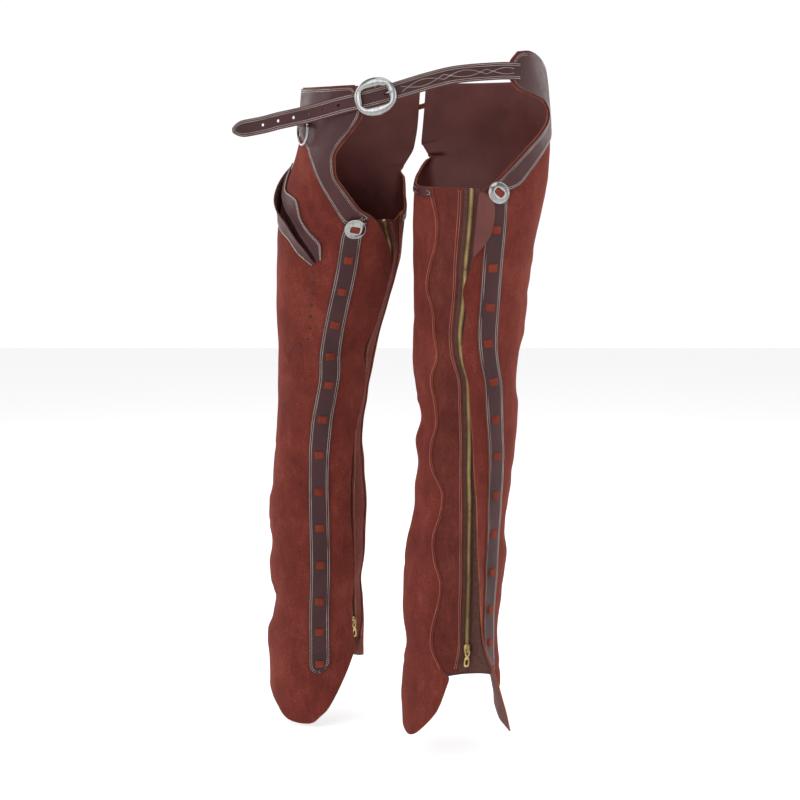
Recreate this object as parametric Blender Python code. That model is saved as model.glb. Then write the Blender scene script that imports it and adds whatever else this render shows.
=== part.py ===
"""Work chaps: two zipped suede legs hung from leather yokes on one buckled belt.

Metres, +Z up. The origin is the middle of the waist where the belt sits, +Y is the
wearer's back and +X the wearer's left. Tables are in millimetres and degrees.
A bearing goes round a leg from 0 at the back, through 90 on its outer side and 180
at the front, to 270 on its inner side.
"""
import bpy
import bmesh
import numpy as np
from math import atan2, cos, degrees, hypot, pi, radians, sin
from mathutils import Vector

MM = 0.001
SIDES = {"left": 1, "right": -1}

# Driving dimensions, in millimetres
SUEDE = 2.0                # thickness of a suede panel
LEATHER = 1.8              # thickness of a leather trim
PLY_GAP = 0.5              # between layers that are sewn on each other
RAW_EDGE = 1.6             # suede that shows beyond the trim's edge
STRIP_WIDTH = 30.0         # leather strip down the back of each leg
SCALLOP_LAP = 18.0         # main panel over the back strip, and the crotch trim's width
TAPE_THICK = 1.0
TAPE_HALF = 14.0           # zip tape from the teeth to its sewn edge
BELT_WIDTH = 25.0
BELT_THICK = 3.0
BELT_LEAN = 0.08           # its upper edge leans in this much, as the hips do
FRONT_GAP = 8.0            # between the two yokes at the front
LEG_GAP = 8.0              # between the two legs at the crotch
SQUARE = (12.0, 11.0)      # lace that shows at each crossing of the strip
CONCHO_RADIUS = 16.2
CONCHO_SLOT = (14.0, 10.0)
HIP_YAW = 12.0             # the hips are turned this far about +Z

# Rows of the lattice: the hips, the leg, and the curved hem below the zip
HIP_ROWS = 11
YOKE_ROWS = 4
LEG_ROWS = 22
HEM_ROWS = 3
TAB_ROWS = 3
ROWS = HIP_ROWS + LEG_ROWS + HEM_ROWS
TRIM_DROP = 13.0           # height of the first leg row, which carries the crotch trim

# Columns of the lattice, round the leg from the tab behind the hip to the zip's teeth
COLUMNS = ("tab0 tab1 tab2 flap margin strip_in strip strip_out a1 a2 a3 a4 a5 a6 a7 a8 front_in front "
           "b1 b2 b3 lap scallop mid under zip_edge teeth tape_side").split()
COL = {name: number for number, name in enumerate(COLUMNS)}

# Leg section: height, centre across, centre back, half width, half depth
LEG = {
    "left": [(60, 100, -25, 85, 110), (-50, 106, -35, 92, 110), (-160, 124, -50, 96, 105),
             (-240, 128, -63, 94, 102), (-310, 138, -78, 86, 93), (-390, 148, -95, 75, 83),
             (-500, 158, -120, 68, 78), (-600, 163, -146, 72, 80), (-700, 166, -165, 75, 80),
             (-800, 167, -180, 74, 80), (-900, 169, -196, 75, 86), (-1000, 169, -210, 76, 92)],
    "right": [(60, -85, 22, 85, 110), (-50, -82, 25, 90, 110), (-160, -78, 30, 93, 105),
              (-240, -71, 31, 88, 98), (-310, -68, 33, 84, 92), (-390, -62, 34, 79, 85),
              (-500, -63, 34, 73, 80), (-600, -55, 33, 72, 80), (-700, -45, 32, 75, 81),
              (-800, -41, 31, 73, 80), (-900, -42, 30, 74, 86), (-1000, -48, 30, 80, 92)],
}

# Hips: height, half width, half depth
HIP = [(60, 176, 118), (0, 183, 124), (-60, 187, 127), (-150, 190, 125)]
HIP_BLEND = (-220, -60)    # heights between which the leg's section turns into the hips'

# Plane between the legs: height, place across
MIDDLE = [(20, 0), (-50, 5), (-100, 12), (-150, 21), (-250, 25), (-1000, 60)]

# Folds: side, height, bearing, degrees to each end, fall per degree, depth, half width
FOLDS = [
    ("left", -650, 80, 60, 0.10, 3.5, 26), ("left", -705, 85, 50, 0.10, -4, 24),
    ("left", -800, 75, 60, 0.25, -8, 30), ("left", -858, 85, 60, 0.15, 4, 26),
    ("left", -135, 85, 45, 0.0, 8, 42), ("left", -330, 45, 40, -0.9, -3, 26),
    ("left", -430, 30, 40, -0.8, 3, 24),
    ("left", -585, 10, 45, -0.5, -3.5, 26), ("left", -520, 265, 50, 0.2, -4, 26),
    ("left", -640, 260, 55, 0.2, 3.5, 28), ("left", -765, 265, 50, 0.1, -5, 28),
    ("left", -470, 175, 55, 0.2, -5, 28), ("left", -560, 185, 50, -0.2, 4, 28),
    ("right", -470, 262, 55, 0.15, -8, 24), ("right", -508, 262, 50, 0.1, 4, 20),
    ("right", -540, 265, 45, 0.1, -3, 20), ("right", -612, 262, 50, 0.1, -4.5, 26),
    ("right", -820, 262, 55, 0.1, -7, 28), ("right", -872, 265, 50, 0.1, 4, 24),
    ("right", -415, 95, 45, 0.2, -4, 24), ("right", -470, 95, 50, 0.2, 3.5, 26),
    ("right", -635, 95, 50, 0.1, -5, 26), ("right", -690, 95, 50, 0.1, 3.5, 26),
    ("right", -800, 95, 50, 0.1, -5, 28), ("right", -450, 180, 55, -0.2, -5, 28),
    ("right", -540, 175, 50, 0.2, 4, 28), ("right", -300, 300, 40, 0.8, -3, 26),
]

# Upper edge of the yoke, and its scalloped lower edge: bearing, height
YOKE_TOP = {"left": [(0, 12), (33, 9), (78, 8), (130, 8), (180, 11), (230, 13)],
            "right": [(35, 60), (50, 61), (71, 50), (80, 41), (95, 27), (120, 19), (180, 15), (230, 14)]}
YOKE_FOOT = {"left": [(5, -72), (40, -84), (58, -66), (76, -59), (110, -66), (140, -78), (165, -64),
                      (190, -62), (224, -80)],
             "right": [(75, -41), (95, -56), (112, -44), (135, -50), (158, -68), (175, -56), (190, -60),
                       (205, -74)]}

# Seat edge and the leather band's other edge, a row down the hips:
# bearing and height of the edge, bearing and height of the band's outer line
SEAT = {
    "left": [(0, 12, 20, 10), (-5, -10, 21, -13), (-6, -31, 23, -36), (-2, -50, 31, -58), (5, -72, 40, -84),
             (9, -88, 34, -97), (8, -104, 28, -110), (5, -122, 22, -125), (-2, -138, 15, -142),
             (-9, -155, 8, -160), (-16, -171, 2, -178)],
    "right": [(80, 41, 94, 29), (80, 20, 96, 8), (80, -3, 99, -15), (81, -26, 101, -36), (75, -41, 95, -56),
              (66, -51, 86, -66), (55, -64, 75, -76), (44, -78, 65, -89), (33, -94, 56, -103),
              (22, -110, 47, -118), (12, -126, 38, -132)],
}

# Tab behind the right hip that carries the belt: a row of bearing, height three times
TAB = [(35, 60, 50, 61, 66, 54), (25, 43, 44, 41, 63, 32), (26, 18, 45, 16, 64, 9), (34, 5, 52, -4, 68, -12)]

# Upper edge of the leg between the seat and the crotch: bearing, height
LEG_TOP = {"left": [(-22, -185), (-3, -196), (40, -196), (120, -170), (190, -130), (224, -118), (240, -136),
                    (258, -160), (285, -178), (322, -188)],
           "right": [(2, -139), (30, -143), (60, -146), (120, -135), (175, -108), (205, -98), (222, -110),
                     (245, -124), (285, -131), (322, -135)]}
FRONT_BEARING = {"left": 224, "right": 205}   # about where a yoke's front edge lies
LEG_FOOT = {"left": -855, "right": -848}   # the last level row, where the zip ends
HEM = {"left": [(-50, -868), (-17, -952), (-6, -971), (5, -984), (20, -984), (40, -974), (59, -953),
                (90, -930), (130, -912), (180, -905), (230, -902), (272, -889), (300, -876), (322, -868)],
       "right": [(17, -935), (28, -926), (40, -912), (52, -900), (80, -884), (110, -880), (180, -892),
                 (240, -925), (280, -946), (303, -951), (325, -938), (343, -908), (357, -858)]}

# Down the leg: height, then the bearings of the flap's edge, the strip's middle,
# the scalloped seam and the zip's teeth
DOWN = {
    "left": [(-185, -22, -13, 292, -40), (-216, -38, -10, 288, -52), (-244, -47, -9, 284, -57),
             (-290, -52, -8, 276, -58), (-343, -50, -6, 272, -55), (-392, -38, -5, 280, -48),
             (-434, -52, -7, 278, -56), (-470, -47, -4, 270, -52), (-509, -41, -2, 276, -47),
             (-551, -36, -1, 284, -43), (-607, -34, -2, 276, -42), (-674, -37, -4, 278, -43),
             (-733, -41, -5, 270, -46), (-791, -42, -4, 276, -47), (-835, -46, -4, 286, -50),
             (-868, -50, -5, 300, -52)],
    "right": [(-139, 2, 16, 322, -7), (-160, 0, 15, 323, -7), (-195, 0, 15, 326, -7), (-235, 0, 16, 321, -7),
              (-265, -7, 16, 314, -8), (-282, -9, 16, 313, -8), (-312, -5, 16, 320, -9),
              (-342, -5, 17, 323, -10), (-363, -8, 19, 326, -9), (-385, -5, 22, 329, -6),
              (-417, 0, 27, 320, 0), (-473, 2, 30, 326, 1), (-530, 4, 34, 315, 2), (-560, 6, 36, 327, 4),
              (-591, 9, 38, 340, 7), (-655, 12, 41, 333, 12), (-725, 13, 43, 347, 16), (-801, 13, 43, 338, 17),
              (-838, 14, 43, 343, 14), (-857, 15, 44, 356, 11), (-935, 18, 46, 357, 11)],
}

# How far the flap stands off: height, then the outward turn of the strip's two halves
# and of the margin's two halves, from the strip's outer line to the flap's edge
PEEL = {"left": [(-190, 0, 0, 1, 2), (-500, 0, 1, 3, 5), (-800, 1, 2, 4, 7), (-870, 2, 4, 7, 10)],
        "right": [(-139, 0, 0, 1, 2), (-300, 0, 1, 4, 7), (-450, 0, 2, 8, 14), (-550, 0, 4, 16, 28),
                  (-650, 1, 8, 28, 44), (-750, 3, 14, 44, 66), (-800, 6, 20, 54, 76),
                  (-870, 26, 50, 76, 92), (-935, 48, 70, 90, 100)]}

# Heights of the lace crossings down each strip
SQUARES = {"left": [-244, -292, -343, -392, -437, -491, -547, -607, -665, -725, -784, -835, -886],
           "right": [-195, -250, -307, -360, -417, -473, -528, -586, -644, -702, -758, -808, -850]}
CONCHO_HEIGHT = {"left": -197, "right": -143}
CONCHO_STAND = {"left": 1.3, "right": 1.7}   # its rim over the leather, which bends under it
STRIP_FOOT_ROW = HIP_ROWS + LEG_ROWS + 1   # the strip ends a little below the zip

# Belt's centre line, from its sewn end on the right yoke to the tip of the billet: x, y, z
BELT = [(-138.8, 97.7, 31), (-118, 110.2, 32), (-78, 123.8, 30), (-44, 129, 26.5), (-7, 129, 18), (30, 125, 7),
        (70, 115, -5), (102, 101, -12.5), (123, 90, -17.5), (146, 80, -24), (168, 72, -30), (190, 64.5, -35),
        (213, 57, -40), (236, 49.5, -46), (259, 42.5, -50.5), (281.5, 36, -54.5)]
BUCKLE_X = 70              # where the buckle's centre bar crosses that line
BUCKLE_OUTER = (32.0, 27.2)
BUCKLE_WINDOW = (21.0, 14.2)
HOLE_PITCH = 24.5
FIRST_HOLE = 48.0          # from the billet's tip
HOLE = 4.0
HOLE_COUNT = 6
PRONG_HOLE = 4.2           # the prong's own hole, from the bar towards the right hip

# D-ring below the billet on the left hip
DRING_PLACE = (47, -46)    # bearing and height of its straight bar
DRING_WIDTH = 34.0
DRING_DROP = 30.0
DRING_WIRE = 2.0
DRING_STAND = 5.2          # its bar over the yoke

# Pocket on the left thigh, a row down the slit: bearing and height of the back welt's outer
# line, of the slit and of the front welt's outer line, then how far the front lip gapes
POCKET = [(79, -104, 85, -112, 92, -116, 1), (68, -142, 78, -142, 102, -150, 8),
          (41, -157, 62, -168, 88, -182, 12), (33, -184, 46, -187, 66, -203, 10),
          (24, -202, 32, -214, 50, -216, 7), (14, -222, 22, -236, 37, -236, 4),
          (13, -244, 18, -248, 22, -254, 0)]
POCKET_STAND = 2.0         # the welts over the curved panel


def smoothstep(t):
    t = min(max(t, 0.0), 1.0)
    return t * t * (3 - 2 * t)


def curve(table, at):
    """The columns of a table at a value of its first column, along a smooth curve."""
    rows = np.array(sorted(table), dtype=float)
    x, y = rows[:, 0], rows[:, 1:]
    at = min(max(at, x[0]), x[-1])
    step = np.diff(x)
    slope = np.diff(y, axis=0) / step[:, None]
    before, after = slope[:-1], slope[1:]
    same = before * after > 0
    total = np.where(same, before + after, 1.0)
    tangent = np.zeros_like(y)
    tangent[1:-1] = np.where(same, 2 * before * after / total, 0.0)
    tangent[0], tangent[-1] = slope[0], slope[-1]
    k = min(max(int(np.searchsorted(x, at, side="right")) - 1, 0), len(x) - 2)
    t = (at - x[k]) / step[k]
    return ((1 + 2 * t) * (1 - t) ** 2 * y[k] + t * (1 - t) ** 2 * step[k] * tangent[k]
            + t * t * (3 - 2 * t) * y[k + 1] + t * t * (t - 1) * step[k] * tangent[k + 1])


def hip_ray(start, heading, z):
    """Distance from a point in plan to the hips' outline, along a heading."""
    half_width, half_depth = curve(HIP, z)
    yaw = radians(HIP_YAW)
    across = np.array([cos(yaw), -sin(yaw)])
    back = np.array([sin(yaw), cos(yaw)])
    p = np.array([start @ across / half_width, start @ back / half_depth])
    q = np.array([heading @ across / half_width, heading @ back / half_depth])
    root = max((p @ q) ** 2 - (q @ q) * (p @ p - 1), 0.0)
    return (root ** 0.5 - p @ q) / (q @ q)


def fold(side, bearing, z):
    """Height of the folds at a place on a leg."""
    total = 0.0
    for name, height, middle, reach, fall, depth, width in FOLDS:
        away = (bearing - middle + 180) % 360 - 180
        if name == side and abs(away) < reach:
            off = (z - height + fall * away) / width
            total += depth * np.exp(-off * off) * cos(away / reach * pi / 2) ** 2
    return total


def skin(side, bearing, z):
    """Point on the outer face of the suede, in millimetres."""
    sign = SIDES[side]
    angle = radians(bearing)
    cx, cy, half_width, half_depth = curve(LEG[side], z)
    centre = np.array([cx, cy])
    heading = np.array([sign * sin(angle), cos(angle)])
    reach = 1 / hypot(sin(angle) / half_width, cos(angle) / half_depth)
    share = smoothstep((z - HIP_BLEND[0]) / (HIP_BLEND[1] - HIP_BLEND[0]))
    if share > 0:
        limit = hip_ray(centre, heading, z)
        inward = -sign * heading[0]
        if inward > 0.05:
            plane = curve(MIDDLE, z)[0] + sign * LEG_GAP / 2
            limit = min(limit, max(sign * (cx - plane) / inward, reach))
        reach += share * (limit - reach)
    reach += fold(side, bearing, z)
    return np.array([*(centre + reach * heading), z])


def turned(vector, angle):
    """A vector in plan turned about +Z by an angle in degrees."""
    a = radians(angle)
    return np.array([vector[0] * cos(a) - vector[1] * sin(a), vector[0] * sin(a) + vector[1] * cos(a), vector[2]])


def front_bearing(side, z, drift):
    """Bearing of a yoke's front edge, a little off the plane between the legs."""
    cx, cy = curve(LEG[side], z)[:2]
    sign = SIDES[side]
    across = curve(MIDDLE, z)[0] + sign * (FRONT_GAP / 2 + drift) - cx
    back = -curve(HIP, z)[1] - cy
    return degrees(atan2(sign * across, back)) % 360


def degrees_of(side, length, z):
    """Degrees round a leg for a length on its surface."""
    return degrees(length / np.mean(curve(LEG[side], z)[2:4]))


def spread(places, first, last, count):
    """Put evenly spaced columns between two that are already placed."""
    a, b = np.array(places[first]), np.array(places[last])
    for k in range(1, count):
        places[first + k] = tuple(a + (b - a) * k / count)


def hip_row(side, row):
    """Bearing and height of each column on a row of the hips."""
    places = {}
    edge, edge_z, band, band_z = SEAT[side][row]
    places[COL["flap"]] = (edge, edge_z)
    places[COL["strip_out"]] = (band, band_z)
    spread(places, COL["flap"], COL["strip_out"], 4)
    if side == "right" and row <= TAB_ROWS:
        for k in range(3):
            places[COL["tab0"] + k] = TAB[row][2 * k:2 * k + 2]

    def height(bearing):
        top, foot = curve(YOKE_TOP[side], bearing)[0], curve(YOKE_FOOT[side], bearing)[0]
        if row <= YOKE_ROWS:
            return top + (foot - top) * row / YOKE_ROWS
        low = curve(LEG_TOP[side], bearing)[0]
        return foot + (low - foot) * (row - YOKE_ROWS) / (HIP_ROWS - YOKE_ROWS)

    drift = 14 * max(0, row - YOKE_ROWS) / (HIP_ROWS - YOKE_ROWS)
    front = front_bearing(side, height(FRONT_BEARING[side]), drift)
    trim = front - degrees_of(side, SCALLOP_LAP, height(front))
    first, last = COL["strip_out"], COL["front_in"]
    for number in range(first + 1, last + 1):
        bearing = band + (trim - band) * (number - first) / (last - first)
        lean = (1 - (number - first) / (last - first)) ** 3
        own = height(bearing)
        start = height(band)
        places[number] = (bearing, own + lean * (band_z - start))
    places[COL["front"]] = (front, height(front))
    return places


def leg_row(side, step):
    """Bearing and height of each column on a row of the leg; step 0 is the leg's upper edge."""
    def top(bearing):
        return curve(LEG_TOP[side], bearing)[0]

    foot = LEG_FOOT[side]
    share = (step - 1) / (LEG_ROWS - 1)

    def level(bearing):
        high = top(bearing)
        if step == 0:
            return high
        if step <= LEG_ROWS:
            return (high - TRIM_DROP) + (foot - high + TRIM_DROP) * share
        low = curve(HEM[side], bearing)[0]
        return foot + (low - foot) * sin((step - LEG_ROWS) / HEM_ROWS * pi / 2)

    def down(column, guess):
        z = level(guess)
        for _ in range(3):
            bearing = curve(DOWN[side], z)[column]
            z = level(bearing)
        return bearing, z

    places = {}
    flap, flap_z = down(0, -20 if side == "left" else 5)
    middle, middle_z = down(1, 0 if side == "left" else 30)
    half = degrees_of(side, STRIP_WIDTH / 2, middle_z)
    places[COL["flap"]] = (flap, flap_z)
    for name, bearing in (("strip_in", middle - half), ("strip", middle), ("strip_out", middle + half)):
        places[COL[name]] = (bearing, level(bearing))
    spread(places, COL["flap"], COL["strip_in"], 2)
    front = front_bearing(side, top(FRONT_BEARING[side]), 14) + 12 * min(step / 6, 1)
    trim = front - degrees_of(side, SCALLOP_LAP, level(front))
    first, last = COL["strip_out"], COL["front_in"]
    for number in range(first + 1, last + 1):
        bearing = middle + half + (trim - middle - half) * (number - first) / (last - first)
        places[number] = (bearing, level(bearing))
    places[COL["front"]] = (front, level(front))
    seam = down(2, 320)[0]
    teeth = down(3, 350 if side == "right" else 310)[0] % 360
    if teeth < 90:
        teeth += 360
    lap = seam - degrees_of(side, SCALLOP_LAP, foot)
    for number in range(COL["b1"], COL["lap"] + 1):
        bearing = front + (lap - front) * (number - COL["front"]) / (COL["lap"] - COL["front"])
        places[number] = (bearing, level(bearing))
    places[COL["scallop"]] = (seam, level(seam))
    zip_edge = teeth - degrees_of(side, TAPE_HALF * 0.8, foot)
    under = zip_edge - degrees_of(side, 7, foot)
    side_by = teeth + degrees_of(side, 7.5, foot)
    for name, bearing in (("mid", (seam + under) / 2), ("under", under), ("zip_edge", zip_edge),
                          ("teeth", teeth), ("tape_side", side_by)):
        places[COL[name]] = (bearing, min(level(320), level(bearing)) if step <= LEG_ROWS else foot)
    return places


def leg_lattice(side):
    """Points and outward directions on a leg's suede, row by column."""
    rows = [hip_row(side, row) for row in range(HIP_ROWS)]
    rows += [leg_row(side, step) for step in range(LEG_ROWS + HEM_ROWS + 1)]
    points = np.full((ROWS + 1, len(COLUMNS), 3), np.nan)
    for number, row in enumerate(rows):
        for column, (bearing, z) in row.items():
            points[number, column] = skin(side, bearing, z)
        if number >= HIP_ROWS:
            peel(side, points[number])
    return points, directions(side, points)


def peel(side, row):
    """Turn the flap and the strip outwards about the strip's outer line, keeping their width."""
    order = [COL[name] for name in ("strip_out", "strip", "strip_in", "margin", "flap")]
    steps = [row[b] - row[a] for a, b in zip(order, order[1:])]
    turns = curve(PEEL[side], row[COL["strip_out"]][2])
    here = row[order[0]]
    for column, step, turn in zip(order[1:], steps, turns):
        here = here + turned(step, -SIDES[side] * turn)
        row[column] = here


def directions(side, points):
    """Outward unit vectors at the lattice points, from their neighbours."""
    sign = SIDES[side]
    out = np.full_like(points, np.nan)
    rows, columns = points.shape[:2]
    known = ~np.isnan(points[:, :, 0])
    for row in range(rows):
        for column in np.flatnonzero(known[row]):
            def neighbour(r, c):
                inside = 0 <= r < rows and 0 <= c < columns and known[r, c]
                return points[r, c] if inside else points[row, column]
            along = neighbour(row, column + 1) - neighbour(row, column - 1)
            downward = neighbour(row + 1, column) - neighbour(row - 1, column)
            normal = sign * np.cross(along, downward)
            out[row, column] = normal / max(np.linalg.norm(normal), 1e-9)
    return out


def material(name, colour, roughness, metallic=0.0):
    found = bpy.data.materials.get(name)
    if found:
        return found
    made = bpy.data.materials.new(name)
    made.use_nodes = True
    shader = made.node_tree.nodes["Principled BSDF"]
    shader.inputs["Base Color"].default_value = (*colour, 1.0)
    shader.inputs["Roughness"].default_value = roughness
    shader.inputs["Metallic"].default_value = metallic
    return made


def suede():
    return material("suede", (0.245, 0.055, 0.040), 0.95)


def leather():
    return material("leather", (0.085, 0.025, 0.030), 0.45)


def tape_cloth():
    return material("zip_tape", (0.080, 0.040, 0.028), 0.85)


def brass():
    return material("brass", (0.70, 0.48, 0.20), 0.30, 1.0)


def silver():
    return material("silver", (0.75, 0.75, 0.74), 0.22, 1.0)


def lace_suede():
    return material("lace", (0.300, 0.050, 0.030), 0.90)


def add(name, vertices, faces, finish, smooth=True):
    """An object from points in millimetres, with its faces turned outwards."""
    mesh = bpy.data.meshes.new(name)
    mesh.from_pydata([Vector(v) * MM for v in vertices], [], [list(f) for f in faces])
    shaped = bmesh.new()
    shaped.from_mesh(mesh)
    bmesh.ops.recalc_face_normals(shaped, faces=shaped.faces)
    if shaped.calc_volume(signed=True) < 0:
        bmesh.ops.reverse_faces(shaped, faces=shaped.faces)
    bmesh.ops.triangulate(shaped, faces=[f for f in shaped.faces if len(f.verts) > 3])
    shaped.to_mesh(mesh)
    shaped.free()
    mesh.materials.append(finish)
    if smooth:
        mesh.shade_smooth()
        mesh.set_sharp_from_angle(angle=radians(40))
    made = bpy.data.objects.new(name, mesh)
    bpy.context.scene.collection.objects.link(made)
    return made


def place_on(made, pivot):
    """Move an object's origin to a point in millimetres and leave its mesh where it is."""
    shift = Vector(pivot) * MM
    made.data.transform(made.matrix_world.Translation(-shift))
    made.location = shift
    return made


def pulled_in(points, normals, corner, edges, inset):
    """A rim point of a sheet moved inwards along the lattice, with its direction."""
    touching = [(edge, len(pairs) > 1) for edge, pairs in edges.items() if corner in edge]
    ways = [edge for edge, inside in touching if inside] or [edge for edge, inside in touching]
    others = [next(iter(edge - {corner})) for edge in ways]
    if len(others) == 2:
        far = tuple(others[0][k] + others[1][k] - corner[k] for k in range(2))
        on_diagonal = (far[0] - corner[0]) * (far[1] - corner[1]) > 0
        if on_diagonal:
            others, inset = [far], inset * 1.4
    here, out = points[corner], normals[corner]
    for other in others:
        step = points[other] - points[corner]
        share = min(inset / np.linalg.norm(step), 0.45)
        here = here + share * step
        out = out + share * (normals[other] - normals[corner])
    return here, out


def slab(name, points, normals, cells, inner, outer, finish, inset=0.0):
    """A sheet over some cells of a lattice, between two heights above its points."""
    inner, outer = (value if callable(value) else (lambda c, v=value: v) for value in (inner, outer))
    corners = lambda r, c: [(r, c), (r + 1, c), (r + 1, c + 1), (r, c + 1)]
    used = sorted({corner for cell in cells for corner in corners(*cell)})
    index = {corner: number for number, corner in enumerate(used)}
    edges = {}
    for cell in cells:
        loop = corners(*cell)
        for a, b in zip(loop, loop[1:] + loop[:1]):
            edges.setdefault(frozenset((a, b)), []).append((a, b))
    rim = [pair[0] for pair in edges.values() if len(pair) == 1]
    on_rim = {corner for edge in rim for corner in edge}
    place = {corner: (points[corner], normals[corner]) for corner in used}
    if inset:
        for corner in on_rim:
            place[corner] = pulled_in(points, normals, corner, edges, inset)
    vertices = [place[k][0] + place[k][1] * outer(k[1]) for k in used]
    vertices += [place[k][0] + place[k][1] * inner(k[1]) for k in used]
    count = len(used)
    faces = []
    for cell in cells:
        a, b, c, d = (index[k] for k in corners(*cell))
        for triangle in ((a, b, c), (a, c, d)):
            faces.append(triangle)
            faces.append([count + k for k in reversed(triangle)])
    for a, b in rim:
        a, b = index[a], index[b]
        faces.append((b, a, count + a, count + b))
    return add(name, vertices, faces, finish)


def block(rows, columns):
    return [(r, c) for r in rows for c in columns]


def span(first, last):
    """Cells from one named column to another."""
    return range(COL[first], COL[last])


def between(grid, row, column):
    """Value of a lattice between its rows and columns."""
    r, c = min(int(row), grid.shape[0] - 2), min(int(column), grid.shape[1] - 2)
    u, v = row - r, column - c
    return ((1 - u) * (1 - v) * grid[r, c] + u * (1 - v) * grid[r + 1, c]
            + (1 - u) * v * grid[r, c + 1] + u * v * grid[r + 1, c + 1])


def row_at(points, column, z):
    """Row, with its fraction, at which a column of the leg reaches a height."""
    heights = points[HIP_ROWS:, column, 2]
    return HIP_ROWS + float(np.interp(-z, -heights, np.arange(len(heights))))


def closed_grid(name, rings, finish, close_rings=True):
    """A closed body from rings of points: joined end to end, or capped at both ends."""
    count, size = len(rings), len(rings[0])
    vertices = [point for ring in rings for point in ring]
    faces = []
    for k in range(count if close_rings else count - 1):
        for m in range(size):
            a, b = k * size + m, k * size + (m + 1) % size
            c, d = (k + 1) % count * size + (m + 1) % size, (k + 1) % count * size + m
            faces.append((a, b, c, d))
    if not close_rings:
        faces.append([m for m in range(size)][::-1])
        faces.append([(count - 1) * size + m for m in range(size)])
    return add(name, vertices, faces, finish)


def wire(name, path, radius, finish, closed, sides=8):
    """A round wire along a path of points."""
    path = [np.array(p, dtype=float) for p in path]
    count = len(path)
    rings, side = [], None
    for k, point in enumerate(path):
        after = path[(k + 1) % count] if closed or k < count - 1 else point
        before = path[k - 1] if closed or k > 0 else point
        along = (after - before) / np.linalg.norm(after - before)
        if side is None:
            side = np.cross(along, (0.31, 0.17, 0.93))
        side = side - along * (side @ along)
        side = side / np.linalg.norm(side)
        other = np.cross(along, side)
        turns = [2 * pi * m / sides for m in range(sides)]
        rings.append([point + radius * (cos(t) * side + sin(t) * other) for t in turns])
    return closed_grid(name, rings, finish, close_rings=closed)


class Belt:
    """The belt's centre line, with a direction along it, one across and one outwards."""

    def __init__(self):
        knots = np.array(BELT, dtype=float)
        run = np.concatenate([[0], np.cumsum(np.linalg.norm(np.diff(knots, axis=0), axis=1))])
        table = [(r, *p) for r, p in zip(run, knots)]
        self.length = run[-1]
        self.stations = np.linspace(0, self.length, 400)
        self.points = np.array([curve(table, s) for s in self.stations])
        self.bar = float(np.interp(BUCKLE_X, self.points[:, 0], self.stations))

    def at(self, run):
        """Centre point and the three directions at a distance from the buckle's bar."""
        s = min(max(self.bar + run, 0.0), self.length)
        here, ahead, behind = (self.line(v) for v in (s, s + 3, s - 3))
        along = (ahead - behind) / np.linalg.norm(ahead - behind)
        out = np.array([-along[1], along[0], 0.0])
        out /= np.linalg.norm(out)
        across = np.cross(along, out)
        out, across = out + BELT_LEAN * across, across - BELT_LEAN * out
        return here, along, across / np.linalg.norm(across), out / np.linalg.norm(out)

    def line(self, s):
        s = min(max(s, 0.0), self.length)
        return np.array([np.interp(s, self.stations, self.points[:, k]) for k in range(3)])

    def point(self, run, up, off):
        here, along, across, out = self.at(run)
        return here + across * up + out * off


def strap_rise(run):
    """How far the strap's middle lifts to pass over the buckle's bar."""
    return 2.6 * np.exp(-(run / 11.0) ** 2)


def build_belt(belt):
    """One strap, with square holes, from the right yoke to the billet's tapered tip."""
    start, end = -belt.bar, belt.length - belt.bar
    holes = [-PRONG_HOLE] + [end - FIRST_HOLE - HOLE_PITCH * k for k in range(HOLE_COUNT)]
    stations = set(np.linspace(start, -30, 17)) | set(np.linspace(30, end - 22, 17))
    stations |= {-24, -18, -12, -8, 0, 4, 8, 12, 18, 24, end - 14, end - 7, end - 2.5, end}
    for hole in holes:
        stations = {s for s in stations if abs(s - hole) > HOLE / 2 + 2}
        stations |= {hole - HOLE / 2, hole + HOLE / 2}
    stations = sorted(stations)
    widths = [-1.0, -HOLE / BELT_WIDTH, HOLE / BELT_WIDTH, 1.0]
    points = np.zeros((len(stations), 4, 3))
    normals = np.zeros_like(points)
    for r, run in enumerate(stations):
        taper = max(0.0, (run - (end - 22)) / 22)
        half = BELT_WIDTH / 2 * (1 - 0.62 * taper ** 2.6)
        for c, share in enumerate(widths):
            points[r, c] = belt.point(run, share * half, strap_rise(run))
            normals[r, c] = belt.at(run)[3]
    skipped = {(stations.index(hole - HOLE / 2), 1) for hole in holes}
    cells = [cell for cell in block(range(len(stations) - 1), range(3)) if cell not in skipped]
    slab("belt", points, normals, cells, -BELT_THICK / 2, BELT_THICK / 2, leather())


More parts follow.
